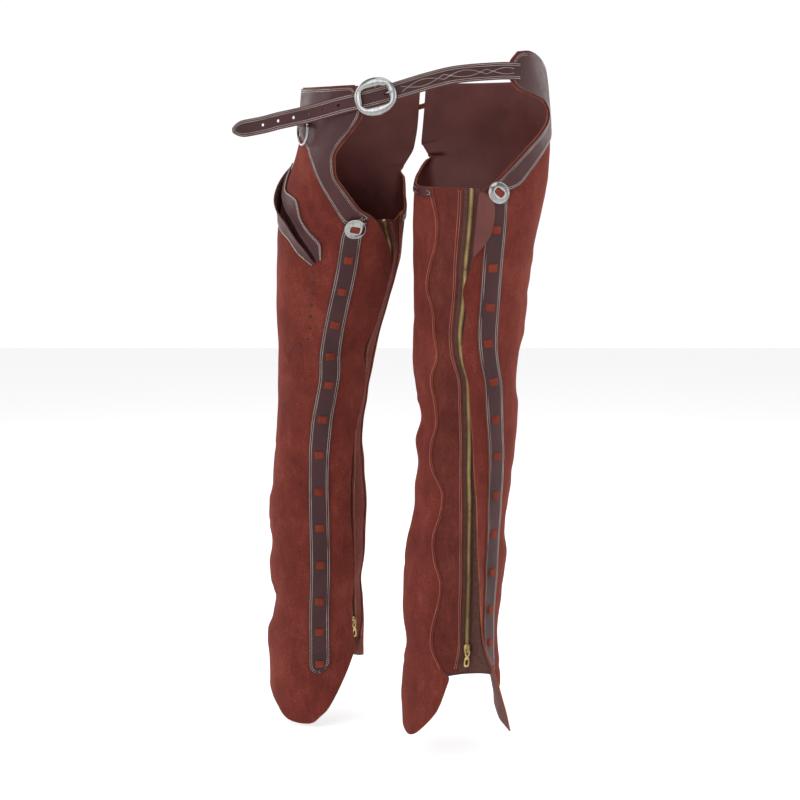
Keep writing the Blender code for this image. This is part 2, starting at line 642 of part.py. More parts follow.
def build_buckle(belt):
    """Domed oval frame, its centre bar under the strap, the prong and the chape."""
    rise = strap_rise(0) + BELT_THICK / 2
    under = rise + 0.4
    rings = []
    for k in range(28):
        angle = 2 * pi * k / 28
        (a, b), (c, d) = BUCKLE_OUTER, BUCKLE_WINDOW
        ring = []
        for share, height in ((0, 0.4), (0, 1.8), (0.3, 3.4), (0.7, 3.3), (1, 1.4), (0.9, 0.0), (0.15, 0.0)):
            run = cos(angle) * (c + (a - c) * share)
            up = sin(angle) * (d + (b - d) * share)
            ring.append(belt.point(run, up, under + height))
        rings.append(ring)
    closed_grid("buckle_frame", rings, silver())
    bar_level = strap_rise(0) - BELT_THICK / 2 - 0.5 - 1.3
    half_bar = [(17.0, under - 1.7), (15.2, 2.8), (14.8, 0.8), (13.6, bar_level)]
    bar = half_bar + [(-up, off) for up, off in reversed(half_bar)]
    wire("buckle_bar", [belt.point(0, up, off) for up, off in bar], 1.3, silver(), closed=False)
    prong = [(-3.2, bar_level + 0.4), (-PRONG_HOLE, rise + 0.6), (-8.5, rise + 3.4), (-17, rise + 5.2),
             (-25, rise + 5.6), (-29.5, rise + 5.3)]
    wire("buckle_prong", [belt.point(run, 0, off) for run, off in prong], 1.25, silver(), closed=False)
    stations = [2.4, 6, 12, 20, 30, 42, 56]
    offs = [bar_level, bar_level - 0.3, bar_level - 0.9, -1.9 - 0.9, -3.0, -3.1, -3.2]
    points = np.array([[belt.point(run, up, off) for up in (-9.5, 0, 9.5)] for run, off in zip(stations, offs)])
    normals = np.array([[belt.at(run)[3]] * 3 for run in stations])
    slab("chape", points, normals, block(range(6), range(2)), -0.8, 0.8, leather())


def frame_at(points, normals, row, column):
    """Point, outward, upward and sideways directions on a leg's lattice."""
    here, out = between(points, row, column), between(normals, row, column)
    out = out / np.linalg.norm(out)
    up = between(points, row - 0.3, column) - between(points, row + 0.3, column)
    up = up - out * (up @ out)
    up /= np.linalg.norm(up)
    return here, out, up, np.cross(up, out)


def build_concho(side, points, normals):
    """Domed round plate with a slot, and the lace that fills the slot."""
    column = COL["strip"]
    row = row_at(points, column, CONCHO_HEIGHT[side])
    row = max(row, HIP_ROWS + 0.02)
    here, out, up, across = frame_at(points, normals, row, column)
    base = PLY_GAP + LEATHER + CONCHO_STAND[side]
    half_x, half_z = CONCHO_SLOT[0] / 2, CONCHO_SLOT[1] / 2

    def at(x, z, off):
        return here + across * x + up * z + out * (base + off)

    rings = []
    for k in range(24):
        angle = 2 * pi * (k + 0.5) / 24
        c, s = cos(angle), sin(angle)
        reach = min(half_x / max(abs(c), 1e-6), half_z / max(abs(s), 1e-6))
        ring = []
        for share, height in ((0, 0.2), (0, 4.6), (0.35, 4.4), (0.72, 3.0), (0.95, 1.3), (1, 0.4), (0.9, 0.0)):
            radius = reach + (CONCHO_RADIUS - reach) * share
            ring.append(at(c * radius, s * radius, height))
        rings.append(ring)
    closed_grid(f"concho_{side}", rings, silver())
    x, z = half_x - 0.4, half_z - 0.4
    rings = [[at(-x, -z, off), at(x, -z, off), at(x, z, off), at(-x, z, off)] for off in (-0.6, 5.0)]
    closed_grid(f"concho_lace_{side}", rings, lace_suede(), close_rings=False)


def build_squares(side, points, normals):
    """Lace that crosses the strip at each slot pair."""
    base = PLY_GAP + LEATHER + 0.4
    width = SQUARE[0] / STRIP_WIDTH
    columns = [COL["strip"] + share * width for share in (-1, 0, 1)]
    for number, z in enumerate(SQUARES[side], 1):
        top, foot = (row_at(points, COL["strip"], z + lift) for lift in (SQUARE[1] / 2, -SQUARE[1] / 2))
        rows = [top] + [r for r in range(ROWS) if top + 0.02 < r < foot - 0.02] + [foot]
        grid = np.array([[between(points, row, column) for column in columns] for row in rows])
        out = np.array([[between(normals, row, column) for column in columns] for row in rows])
        slab(f"lace_{side}_{number:02d}", grid, out, block(range(len(rows) - 1), range(2)), base, base + 1.5,
             lace_suede())


def build_zip(side, points, normals):
    """Tape under both edges of the opening, its slider and the pull that hangs from it."""
    picked = [COL[name] for name in ("under", "zip_edge", "teeth", "tape_side", "margin")]
    deep = -2 * SUEDE - 2 * PLY_GAP
    offs = np.array([deep, deep, deep, deep, -SUEDE - 1.0])
    grid = points[:, picked] + normals[:, picked] * offs[:, None]
    rows = range(HIP_ROWS, HIP_ROWS + LEG_ROWS)
    slab(f"zip_tape_{side}", grid, directions(side, grid), block(rows, range(4)), -TAPE_THICK, 0.0,
         tape_cloth())
    row = HIP_ROWS + LEG_ROWS - 1.0
    here, out, up, across = frame_at(points, normals, row, COL["teeth"])
    base = deep + 1.4

    def at(x, v, n):
        return here + across * x + up * v + out * (base + n)

    body = [[at(x * w, v, n) for x, n in ((-1, -1.0), (1, -1.0), (1, 2.6), (0.6, 3.6), (-0.6, 3.6), (-1, 2.6))]
            for v, w in ((-7, 3.6), (-3, 4.8), (4, 5.4), (7, 4.4))]
    closed_grid(f"slider_body_{side}", body, brass(), close_rings=False)
    top = 3.6 + 0.3
    bridge = [(5.4, top), (4.8, top + 3.0), (2.6, top + 4.1), (-2.6, top + 4.1), (-4.8, top + 3.0), (-5.4, top)]
    wire(f"slider_bridge_{side}", [at(0, v, n) for v, n in bridge], 0.8, brass(), closed=False, sides=6)
    pull_columns = (-4.6, -1.9, 1.9, 4.6)
    pull_rows = (0.8, -0.8, -6.8, -13.0, -15.5, -21.5, -24.5)
    lift = top + 0.85
    grid = np.array([[at(x, v - 1.0, lift) for x in pull_columns] for v in pull_rows])
    normal = np.array([[out] * 4] * len(pull_rows))
    cells = [cell for cell in block(range(6), range(3)) if cell not in ((1, 1), (4, 1))]
    pull = slab(f"zip_pull_{side}", grid, normal, cells, -0.7, 0.7, brass())
    place_on(pull, at(0, -1.0, lift))
    return at(0, -1.0, lift), across


def build_ring():
    """D-ring and the leather loop that holds its bar under the billet."""
    bearing, z = DRING_PLACE
    here, out = skin("left", bearing, z), outward("left", bearing, z)
    up = np.array([0.0, 0.0, 1.0])
    up = up - out * (up @ out)
    up /= np.linalg.norm(up)
    across = np.cross(up, out)
    clear = PLY_GAP + LEATHER + DRING_STAND

    def at(x, v, n):
        return here + across * x + up * v + out * (clear + n)

    half = DRING_WIDTH / 2
    path = [at(x, 0, 0) for x in np.linspace(-half + 2, half - 2, 5)]
    path += [at(half - 0.4, -1.2, 0)]
    for k in range(11):
        turn = pi * k / 10
        path.append(at(half * cos(turn), -6 - (DRING_DROP - 6) * sin(turn), 0))
    path += [at(-half + 0.4, -1.2, 0)]
    ring = wire("d_ring", path, DRING_WIRE, silver(), closed=True)
    place_on(ring, at(0, 0, 0))
    inner, outer = DRING_WIRE + 0.4, DRING_WIRE + 2.0
    half_loop = half - DRING_WIRE - 3.2
    rings = []
    for turn in np.linspace(pi, -pi, 16, endpoint=False):
        c, s = cos(turn), sin(turn)
        rings.append([at(-half_loop, inner * s, inner * c), at(-half_loop, outer * s, outer * c),
                      at(half_loop, outer * s, outer * c), at(half_loop, inner * s, inner * c)])
    closed_grid("ring_loop", rings, leather())
    low, high = -0.1 - DRING_STAND, LEATHER - 0.1 - DRING_STAND
    tab = [[at(-half_loop, v, low), at(half_loop, v, low), at(half_loop, v, high), at(-half_loop, v, high)]
           for v in (outer - 1.3, outer + 12)]
    closed_grid("ring_tab", tab, leather(), close_rings=False)
    return at(0, 0, 0), across


def outward(side, bearing, z):
    """Outward unit vector of a leg's skin."""
    ahead = skin(side, bearing + 2, z) - skin(side, bearing - 2, z)
    above = skin(side, bearing, z + 3) - skin(side, bearing, z - 3)
    out = SIDES[side] * np.cross(above, ahead)
    return out / np.linalg.norm(out)


def build_pocket():
    """Welt round the pocket's mouth: its back half lies flat and its front lip gapes."""
    grids = {"pocket_back": ([], []), "pocket_front": ([], [])}
    for back, back_z, slit, slit_z, front, front_z, gape in POCKET:
        middle_back = ((back + slit) / 2, (back_z + slit_z) / 2)
        middle_front = ((front + slit) / 2, (front_z + slit_z) / 2)
        lips = {"pocket_back": [(back, back_z, 0), (*middle_back, 0), (slit - 0.4, slit_z + 0.8, 0)],
                "pocket_front": [(slit + 0.6, slit_z - 1.2, gape), (*middle_front, gape * 0.35),
                                 (front, front_z, 0)]}
        for name, places in lips.items():
            outs = [outward("left", bearing, z) for bearing, z, _ in places]
            grids[name][0].append([skin("left", bearing, z) + out * (POCKET_STAND + lift)
                                   for (bearing, z, lift), out in zip(places, outs)])
            grids[name][1].append(outs)
    for name, (points, normals) in grids.items():
        slab(name, np.array(points), np.array(normals), block(range(len(POCKET) - 1), range(2)), 0.0, LEATHER,
             leather())


def build_front_lace(lattices):
    """Flat lace that ties the two yokes together at the front."""
    ends = []
    for side in ("left", "right"):
        points, normals = lattices[side]
        ends.append((between(points, 1.5, COL["front_in"] + 0.2), between(normals, 1.5, COL["front_in"] + 0.2)))
        ends.append((between(points, 1.5, COL["front"] - 0.1), between(normals, 1.5, COL["front"] - 0.1)))
    order = [ends[0], ends[1], ends[3], ends[2]]
    lift = PLY_GAP + LEATHER + 0.5
    points = np.array([[p + n * lift + np.array([0, 0, z]) for z in (-4, 4)] for p, n in order])
    normals = np.array([[n, n] for p, n in order])
    slab("front_lace", points, normals, block(range(3), range(1)), 0.0, 1.8, lace_suede())


def build_leg(side):
    """Suede panels, leather trims and zip of one leg."""
    points, normals = leg_lattice(side)
    hips, legs = range(HIP_ROWS), range(HIP_ROWS, HIP_ROWS + LEG_ROWS)
    tab = block(range(TAB_ROWS), span("tab0", "flap")) if side == "right" else []
    panel = tab + block(hips, span("flap", "front")) + block(range(HIP_ROWS, ROWS), span("flap", "scallop"))
    slab(f"main_panel_{side}", points, normals, panel, -SUEDE, 0.0, suede())
    lower = -2 * SUEDE - PLY_GAP
    slab(f"back_strip_{side}", points, normals, block(legs, span("lap", "zip_edge")), lower,
         -SUEDE - PLY_GAP, suede())
    low, high = PLY_GAP, PLY_GAP + LEATHER
    yoke = tab + block(range(YOKE_ROWS), span("flap", "front"))
    yoke += block(range(YOKE_ROWS, HIP_ROWS), span("flap", "strip_out"))
    slab(f"yoke_{side}", points, normals, yoke, low, high, leather(), inset=RAW_EDGE)
    trim = block(range(YOKE_ROWS, HIP_ROWS), span("front_in", "front"))
    trim += block([HIP_ROWS], span("front_in", "scallop"))
    slab(f"crotch_trim_{side}", points, normals, trim, low, high, leather())
    strip = block(range(HIP_ROWS, STRIP_FOOT_ROW), span("strip_in", "strip_out"))
    slab(f"lace_strip_{side}", points, normals, strip, low, high, leather())
    build_zip(side, points, normals)
    build_concho(side, points, normals)
    build_squares(side, points, normals)
    return points, normals


def main():
    for old in list(bpy.data.objects):
        bpy.data.objects.remove(old, do_unlink=True)
    lattices = {side: build_leg(side) for side in SIDES}
    belt = Belt()
    build_belt(belt)
    build_buckle(belt)
    build_ring()
    build_pocket()
    build_front_lace(lattices)


main()
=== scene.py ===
"""Looks of the work chaps: suede legs, burgundy leather trims, sewing, zips and silver.

Metres in the scene; the tables and the lattice below are the part's own, in millimetres
and degrees. A bearing goes round a leg from 0 at the back, through 90 on its outer side
and 180 at the front, to 270 on its inner side.
"""
from math import atan2, cos, degrees, hypot, pi, radians, sin

import bmesh
import bpy
import numpy as np
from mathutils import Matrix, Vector


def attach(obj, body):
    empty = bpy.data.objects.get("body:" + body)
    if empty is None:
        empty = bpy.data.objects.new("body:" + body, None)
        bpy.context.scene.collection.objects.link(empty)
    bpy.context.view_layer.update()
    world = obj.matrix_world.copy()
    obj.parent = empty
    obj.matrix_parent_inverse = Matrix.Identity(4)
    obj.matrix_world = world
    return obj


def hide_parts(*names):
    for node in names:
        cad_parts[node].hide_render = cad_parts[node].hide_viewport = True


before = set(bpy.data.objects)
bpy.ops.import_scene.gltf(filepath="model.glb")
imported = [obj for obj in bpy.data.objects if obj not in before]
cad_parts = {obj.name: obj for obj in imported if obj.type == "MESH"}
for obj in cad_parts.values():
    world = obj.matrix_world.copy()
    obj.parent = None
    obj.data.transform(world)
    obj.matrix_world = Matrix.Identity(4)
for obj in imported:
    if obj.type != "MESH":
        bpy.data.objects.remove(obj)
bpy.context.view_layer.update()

MM = 0.001
SIDES = {"left": 1, "right": -1}

# Driving dimensions, in millimetres unless said otherwise
SUEDE = 2.0                # thickness of a suede panel
LEATHER = 1.8              # thickness of a leather trim
PLY_GAP = 0.5              # between layers that are sewn on each other
STRIP_WIDTH = 30.0         # leather strip down the back of each leg
SCALLOP_LAP = 18.0         # main panel over the back strip, and the crotch trim's width
TAPE_THICK = 1.0
TAPE_HALF = 14.0           # zip tape from the teeth to its sewn edge
BELT_WIDTH = 25.0
BELT_THICK = 3.0
BELT_LEAN = 0.08           # its upper edge leans in this much, as the hips do
FRONT_GAP = 8.0            # between the two yokes at the front
LEG_GAP = 8.0              # between the two legs at the crotch
SQUARE = (12.0, 11.0)      # lace that shows at each crossing of the strip
CONCHO_RADIUS = 16.2
CONCHO_SLOT = (14.0, 10.0)
SLOT_POWER = 5.0           # how square its corners and the buckle window's are
HIP_YAW = 12.0             # degrees that the hips are turned about +Z
TRIM_BASE = PLY_GAP - 0.4  # a trim's underside over the suede, which it all but touches
TRIM_TOP = PLY_GAP + LEATHER
ZIP_DEEP = -2 * (SUEDE + PLY_GAP)   # the tape's outer face, under the back strip

# Rows of the lattice: the hips, the leg, and the curved hem below the zip
HIP_ROWS = 11
YOKE_ROWS = 4
LEG_ROWS = 22
HEM_ROWS = 3
TAB_ROWS = 3
ROWS = HIP_ROWS + LEG_ROWS + HEM_ROWS
TRIM_DROP = 13.0           # height of the first leg row, which carries the crotch trim

# Columns of the lattice, round the leg from the tab behind the hip to the zip's teeth
COLUMNS = ("tab0 tab1 tab2 flap margin strip_in strip strip_out a1 a2 a3 a4 a5 a6 a7 a8 front_in front "
           "b1 b2 b3 lap scallop mid under zip_edge teeth tape_side").split()
COL = {name: number for number, name in enumerate(COLUMNS)}

# Leg section: height, centre across, centre back, half width, half depth
LEG = {
    "left": [(60, 100, -25, 85, 110), (-50, 106, -35, 92, 110), (-160, 124, -50, 96, 105),
             (-240, 128, -63, 94, 102), (-310, 138, -78, 86, 93), (-390, 148, -95, 75, 83),
             (-500, 158, -120, 68, 78), (-600, 163, -146, 72, 80), (-700, 166, -165, 75, 80),
             (-800, 167, -180, 74, 80), (-900, 169, -196, 75, 86), (-1000, 169, -210, 76, 92)],
    "right": [(60, -85, 22, 85, 110), (-50, -82, 25, 90, 110), (-160, -78, 30, 93, 105),
              (-240, -71, 31, 88, 98), (-310, -68, 33, 84, 92), (-390, -62, 34, 79, 85),
              (-500, -63, 34, 73, 80), (-600, -55, 33, 72, 80), (-700, -45, 32, 75, 81),
              (-800, -41, 31, 73, 80), (-900, -42, 30, 74, 86), (-1000, -48, 30, 80, 92)],
}

# Hips: height, half width, half depth
HIP = [(60, 176, 118), (0, 183, 124), (-60, 187, 127), (-150, 190, 125)]
HIP_BLEND = (-220, -60)    # heights between which the leg's section turns into the hips'

# Plane between the legs: height, place across
MIDDLE = [(20, 0), (-50, 5), (-100, 12), (-150, 21), (-250, 25), (-1000, 60)]

# Folds: side, height, bearing, degrees to each end, fall per degree, depth, half width
FOLDS = [
    ("left", -650, 80, 60, 0.10, 3.5, 26), ("left", -705, 85, 50, 0.10, -4, 24),
    ("left", -800, 75, 60, 0.25, -8, 30), ("left", -858, 85, 60, 0.15, 4, 26),
    ("left", -135, 85, 45, 0.0, 8, 42), ("left", -330, 45, 40, -0.9, -3, 26),
    ("left", -430, 30, 40, -0.8, 3, 24),
    ("left", -585, 10, 45, -0.5, -3.5, 26), ("left", -520, 265, 50, 0.2, -4, 26),
    ("left", -640, 260, 55, 0.2, 3.5, 28), ("left", -765, 265, 50, 0.1, -5, 28),
    ("left", -470, 175, 55, 0.2, -5, 28), ("left", -560, 185, 50, -0.2, 4, 28),
    ("right", -470, 262, 55, 0.15, -8, 24), ("right", -508, 262, 50, 0.1, 4, 20),
    ("right", -540, 265, 45, 0.1, -3, 20), ("right", -612, 262, 50, 0.1, -4.5, 26),
    ("right", -820, 262, 55, 0.1, -7, 28), ("right", -872, 265, 50, 0.1, 4, 24),
    ("right", -415, 95, 45, 0.2, -4, 24), ("right", -470, 95, 50, 0.2, 3.5, 26),
    ("right", -635, 95, 50, 0.1, -5, 26), ("right", -690, 95, 50, 0.1, 3.5, 26),
    ("right", -800, 95, 50, 0.1, -5, 28), ("right", -450, 180, 55, -0.2, -5, 28),
    ("right", -540, 175, 50, 0.2, 4, 28), ("right", -300, 300, 40, 0.8, -3, 26),
]

# Upper edge of the yoke, and its scalloped lower edge: bearing, height
YOKE_TOP = {"left": [(0, 12), (33, 9), (78, 8), (130, 8), (180, 11), (230, 13)],
            "right": [(35, 60), (50, 61), (71, 50), (80, 41), (95, 27), (120, 19), (180, 15), (230, 14)]}
YOKE_FOOT = {"left": [(5, -72), (40, -84), (58, -66), (76, -59), (110, -66), (140, -78), (165, -64),
                      (190, -62), (224, -80)],
             "right": [(75, -41), (95, -56), (112, -44), (135, -50), (158, -68), (175, -56), (190, -60),
                       (205, -74)]}

# Seat edge and the leather band's other edge, a row down the hips:
# bearing and height of the edge, bearing and height of the band's outer line
SEAT = {
    "left": [(0, 12, 20, 10), (-5, -10, 21, -13), (-6, -31, 23, -36), (-2, -50, 31, -58), (5, -72, 40, -84),
             (9, -88, 34, -97), (8, -104, 28, -110), (5, -122, 22, -125), (-2, -138, 15, -142),
             (-9, -155, 8, -160), (-16, -171, 2, -178)],
    "right": [(80, 41, 94, 29), (80, 20, 96, 8), (80, -3, 99, -15), (81, -26, 101, -36), (75, -41, 95, -56),
              (66, -51, 86, -66), (55, -64, 75, -76), (44, -78, 65, -89), (33, -94, 56, -103),
              (22, -110, 47, -118), (12, -126, 38, -132)],
}

# Tab behind the right hip that carries the belt: a row of bearing, height three times
TAB = [(35, 60, 50, 61, 66, 54), (25, 43, 44, 41, 63, 32), (26, 18, 45, 16, 64, 9), (34, 5, 52, -4, 68, -12)]

# Upper edge of the leg between the seat and the crotch: bearing, height
LEG_TOP = {"left": [(-22, -185), (-3, -196), (40, -196), (120, -170), (190, -130), (224, -118), (240, -136),
                    (258, -160), (285, -178), (322, -188)],
           "right": [(2, -139), (30, -143), (60, -146), (120, -135), (175, -108), (205, -98), (222, -110),
                     (245, -124), (285, -131), (322, -135)]}
FRONT_BEARING = {"left": 224, "right": 205}   # about where a yoke's front edge lies
LEG_FOOT = {"left": -855, "right": -848}   # the last level row, where the zip ends
HEM = {"left": [(-50, -868), (-17, -952), (-6, -971), (5, -984), (20, -984), (40, -974), (59, -953),
                (90, -930), (130, -912), (180, -905), (230, -902), (272, -889), (300, -876), (322, -868)],
       "right": [(17, -935), (28, -926), (40, -912), (52, -900), (80, -884), (110, -880), (180, -892),
                 (240, -925), (280, -946), (303, -951), (325, -938), (343, -908), (357, -858)]}

# Down the leg: height, then the bearings of the flap's edge, the strip's middle,
# the scalloped seam and the zip's teeth
DOWN = {
    "left": [(-185, -22, -13, 292, -40), (-216, -38, -10, 288, -52), (-244, -47, -9, 284, -57),
             (-290, -52, -8, 276, -58), (-343, -50, -6, 272, -55), (-392, -38, -5, 280, -48),
             (-434, -52, -7, 278, -56), (-470, -47, -4, 270, -52), (-509, -41, -2, 276, -47),
             (-551, -36, -1, 284, -43), (-607, -34, -2, 276, -42), (-674, -37, -4, 278, -43),
             (-733, -41, -5, 270, -46), (-791, -42, -4, 276, -47), (-835, -46, -4, 286, -50),
             (-868, -50, -5, 300, -52)],
    "right": [(-139, 2, 16, 322, -7), (-160, 0, 15, 323, -7), (-195, 0, 15, 326, -7), (-235, 0, 16, 321, -7),
              (-265, -7, 16, 314, -8), (-282, -9, 16, 313, -8), (-312, -5, 16, 320, -9),
              (-342, -5, 17, 323, -10), (-363, -8, 19, 326, -9), (-385, -5, 22, 329, -6),
              (-417, 0, 27, 320, 0), (-473, 2, 30, 326, 1), (-530, 4, 34, 315, 2), (-560, 6, 36, 327, 4),
              (-591, 9, 38, 340, 7), (-655, 12, 41, 333, 12), (-725, 13, 43, 347, 16),
              (-801, 13, 43, 338, 17), (-838, 14, 43, 343, 14), (-857, 15, 44, 356, 11),
              (-935, 18, 46, 357, 11)],
}

# How far the flap stands off: height, then the outward turn of the strip's two halves
# and of the margin's two halves, from the strip's outer line to the flap's edge
PEEL = {"left": [(-190, 0, 0, 1, 2), (-500, 0, 1, 3, 5), (-800, 1, 2, 4, 7), (-870, 2, 4, 7, 10)],
        "right": [(-139, 0, 0, 1, 2), (-300, 0, 1, 4, 7), (-450, 0, 2, 8, 14), (-550, 0, 4, 16, 28),
                  (-650, 1, 8, 28, 44), (-750, 3, 14, 44, 66), (-800, 6, 20, 54, 76),
                  (-870, 26, 50, 76, 92), (-935, 48, 70, 90, 100)]}

# Heights of the lace crossings down each strip
SQUARES = {"left": [-244, -292, -343, -392, -437, -491, -547, -607, -665, -725, -784, -835, -886],
           "right": [-195, -250, -307, -360, -417, -473, -528, -586, -644, -702, -758, -808, -850]}
CONCHO_HEIGHT = {"left": -197, "right": -143}
CONCHO_STAND = {"left": 1.3, "right": 1.7}   # its rim over the leather
STRIP_FOOT_ROW = HIP_ROWS + LEG_ROWS + 1   # the strip ends a little below the zip

# Belt's centre line, from its sewn end on the right yoke to the tip of the billet: x, y, z
BELT = [(-138.8, 97.7, 31), (-118, 110.2, 32), (-78, 123.8, 30), (-44, 129, 26.5), (-7, 129, 18),
        (30, 125, 7), (70, 115, -5), (102, 101, -12.5), (123, 90, -17.5), (146, 80, -24),
        (168, 72, -30), (190, 64.5, -35), (213, 57, -40), (236, 49.5, -46),
        (259, 42.5, -50.5), (281.5, 36, -54.5)]
BUCKLE_X = 70              # where the buckle's centre bar crosses that line
BUCKLE_OUTER = (32.0, 27.2)
BUCKLE_WINDOW = (21.0, 14.2)
HOLE_PITCH = 24.5
FIRST_HOLE = 48.0          # from the billet's tip
HOLE_RADIUS = 2.35
HOLE_COUNT = 6

# D-ring below the billet on the left hip
DRING_PLACE = (47, -46)    # bearing and height of its straight bar
DRING_WIDTH = 34.0
DRING_DROP = 30.0
DRING_WIRE = 2.0
DRING_STAND = 5.2          # its bar over the yoke

# Pocket on the left thigh, a row down the slit: bearing and height of the back welt's outer
# line, of the slit and of the front welt's outer line, then how far the front lip gapes
POCKET = [(79, -104, 85, -112, 92, -116, 1), (68, -142, 78, -142, 102, -150, 8),
          (41, -157, 62, -168, 88, -182, 12), (33, -184, 46, -187, 66, -203, 10),
          (24, -202, 32, -214, 50, -216, 7), (14, -222, 22, -236, 37, -236, 4),
          (13, -244, 18, -248, 22, -254, 0)]


def smoothstep(t):
    t = min(max(t, 0.0), 1.0)
    return t * t * (3 - 2 * t)


def curve(table, at):
    """The columns of a table at a value of its first column, along a smooth curve."""
    rows = np.array(sorted(table), dtype=float)
    x, y = rows[:, 0], rows[:, 1:]
    at = min(max(at, x[0]), x[-1])
    step = np.diff(x)
    slope = np.diff(y, axis=0) / step[:, None]
    before, after = slope[:-1], slope[1:]
    same = before * after > 0
    total = np.where(same, before + after, 1.0)
    tangent = np.zeros_like(y)
    tangent[1:-1] = np.where(same, 2 * before * after / total, 0.0)
    tangent[0], tangent[-1] = slope[0], slope[-1]
    k = min(max(int(np.searchsorted(x, at, side="right")) - 1, 0), len(x) - 2)
    t = (at - x[k]) / step[k]
    return ((1 + 2 * t) * (1 - t) ** 2 * y[k] + t * (1 - t) ** 2 * step[k] * tangent[k]
            + t * t * (3 - 2 * t) * y[k + 1] + t * t * (t - 1) * step[k] * tangent[k + 1])


def hip_ray(start, heading, z):
    """Distance from a point in plan to the hips' outline, along a heading."""
    half_width, half_depth = curve(HIP, z)
    yaw = radians(HIP_YAW)
    across = np.array([cos(yaw), -sin(yaw)])
    back = np.array([sin(yaw), cos(yaw)])
    p = np.array([start @ across / half_width, start @ back / half_depth])
    q = np.array([heading @ across / half_width, heading @ back / half_depth])
    root = max((p @ q) ** 2 - (q @ q) * (p @ p - 1), 0.0)
    return (root ** 0.5 - p @ q) / (q @ q)


def fold(side, bearing, z):
    """Height of the folds at a place on a leg."""
    total = 0.0
    for name, height, middle, reach, fall, depth, width in FOLDS:
        away = (bearing - middle + 180) % 360 - 180
        if name == side and abs(away) < reach:
            off = (z - height + fall * away) / width
            total += depth * np.exp(-off * off) * cos(away / reach * pi / 2) ** 2
    return total


def skin(side, bearing, z):
    """Point on the outer face of the suede, in millimetres."""
    sign = SIDES[side]
    angle = radians(bearing)
    cx, cy, half_width, half_depth = curve(LEG[side], z)
    centre = np.array([cx, cy])
    heading = np.array([sign * sin(angle), cos(angle)])
    reach = 1 / hypot(sin(angle) / half_width, cos(angle) / half_depth)
    share = smoothstep((z - HIP_BLEND[0]) / (HIP_BLEND[1] - HIP_BLEND[0]))
    if share > 0:
        limit = hip_ray(centre, heading, z)
        inward = -sign * heading[0]
        if inward > 0.05:
            plane = curve(MIDDLE, z)[0] + sign * LEG_GAP / 2
            limit = min(limit, max(sign * (cx - plane) / inward, reach))
        reach += share * (limit - reach)
    reach += fold(side, bearing, z)
    return np.array([*(centre + reach * heading), z])


def turned(vector, angle):
    """A vector in plan turned about +Z by an angle in degrees."""
    a = radians(angle)
    x, y, z = vector
    return np.array([x * cos(a) - y * sin(a), x * sin(a) + y * cos(a), z])


def front_bearing(side, z, drift):
    """Bearing of a yoke's front edge, a little off the plane between the legs."""
    cx, cy = curve(LEG[side], z)[:2]
    sign = SIDES[side]
    across = curve(MIDDLE, z)[0] + sign * (FRONT_GAP / 2 + drift) - cx
    back = -curve(HIP, z)[1] - cy
    return degrees(atan2(sign * across, back)) % 360


def degrees_of(side, length, z):
    """Degrees round a leg for a length on its surface."""
    return degrees(length / np.mean(curve(LEG[side], z)[2:4]))


def spread(places, first, last, count):
    """Put evenly spaced columns between two that are already placed."""
    a, b = np.array(places[first]), np.array(places[last])
    for k in range(1, count):
        places[first + k] = tuple(a + (b - a) * k / count)


def hip_row(side, row):
    """Bearing and height of each column on a row of the hips."""
    places = {}
    edge, edge_z, band, band_z = SEAT[side][row]
    places[COL["flap"]] = (edge, edge_z)
    places[COL["strip_out"]] = (band, band_z)
    spread(places, COL["flap"], COL["strip_out"], 4)
    if side == "right" and row <= TAB_ROWS:
        for k in range(3):
            places[COL["tab0"] + k] = TAB[row][2 * k:2 * k + 2]

    def height(bearing):
        top, foot = curve(YOKE_TOP[side], bearing)[0], curve(YOKE_FOOT[side], bearing)[0]
        if row <= YOKE_ROWS:
            return top + (foot - top) * row / YOKE_ROWS
        low = curve(LEG_TOP[side], bearing)[0]
        return foot + (low - foot) * (row - YOKE_ROWS) / (HIP_ROWS - YOKE_ROWS)

    drift = 14 * max(0, row - YOKE_ROWS) / (HIP_ROWS - YOKE_ROWS)
    front = front_bearing(side, height(FRONT_BEARING[side]), drift)
    trim = front - degrees_of(side, SCALLOP_LAP, height(front))
    first, last = COL["strip_out"], COL["front_in"]
    for number in range(first + 1, last + 1):
        bearing = band + (trim - band) * (number - first) / (last - first)
        lean = (1 - (number - first) / (last - first)) ** 3
        own = height(bearing)
        start = height(band)
        places[number] = (bearing, own + lean * (band_z - start))
    places[COL["front"]] = (front, height(front))
    return places


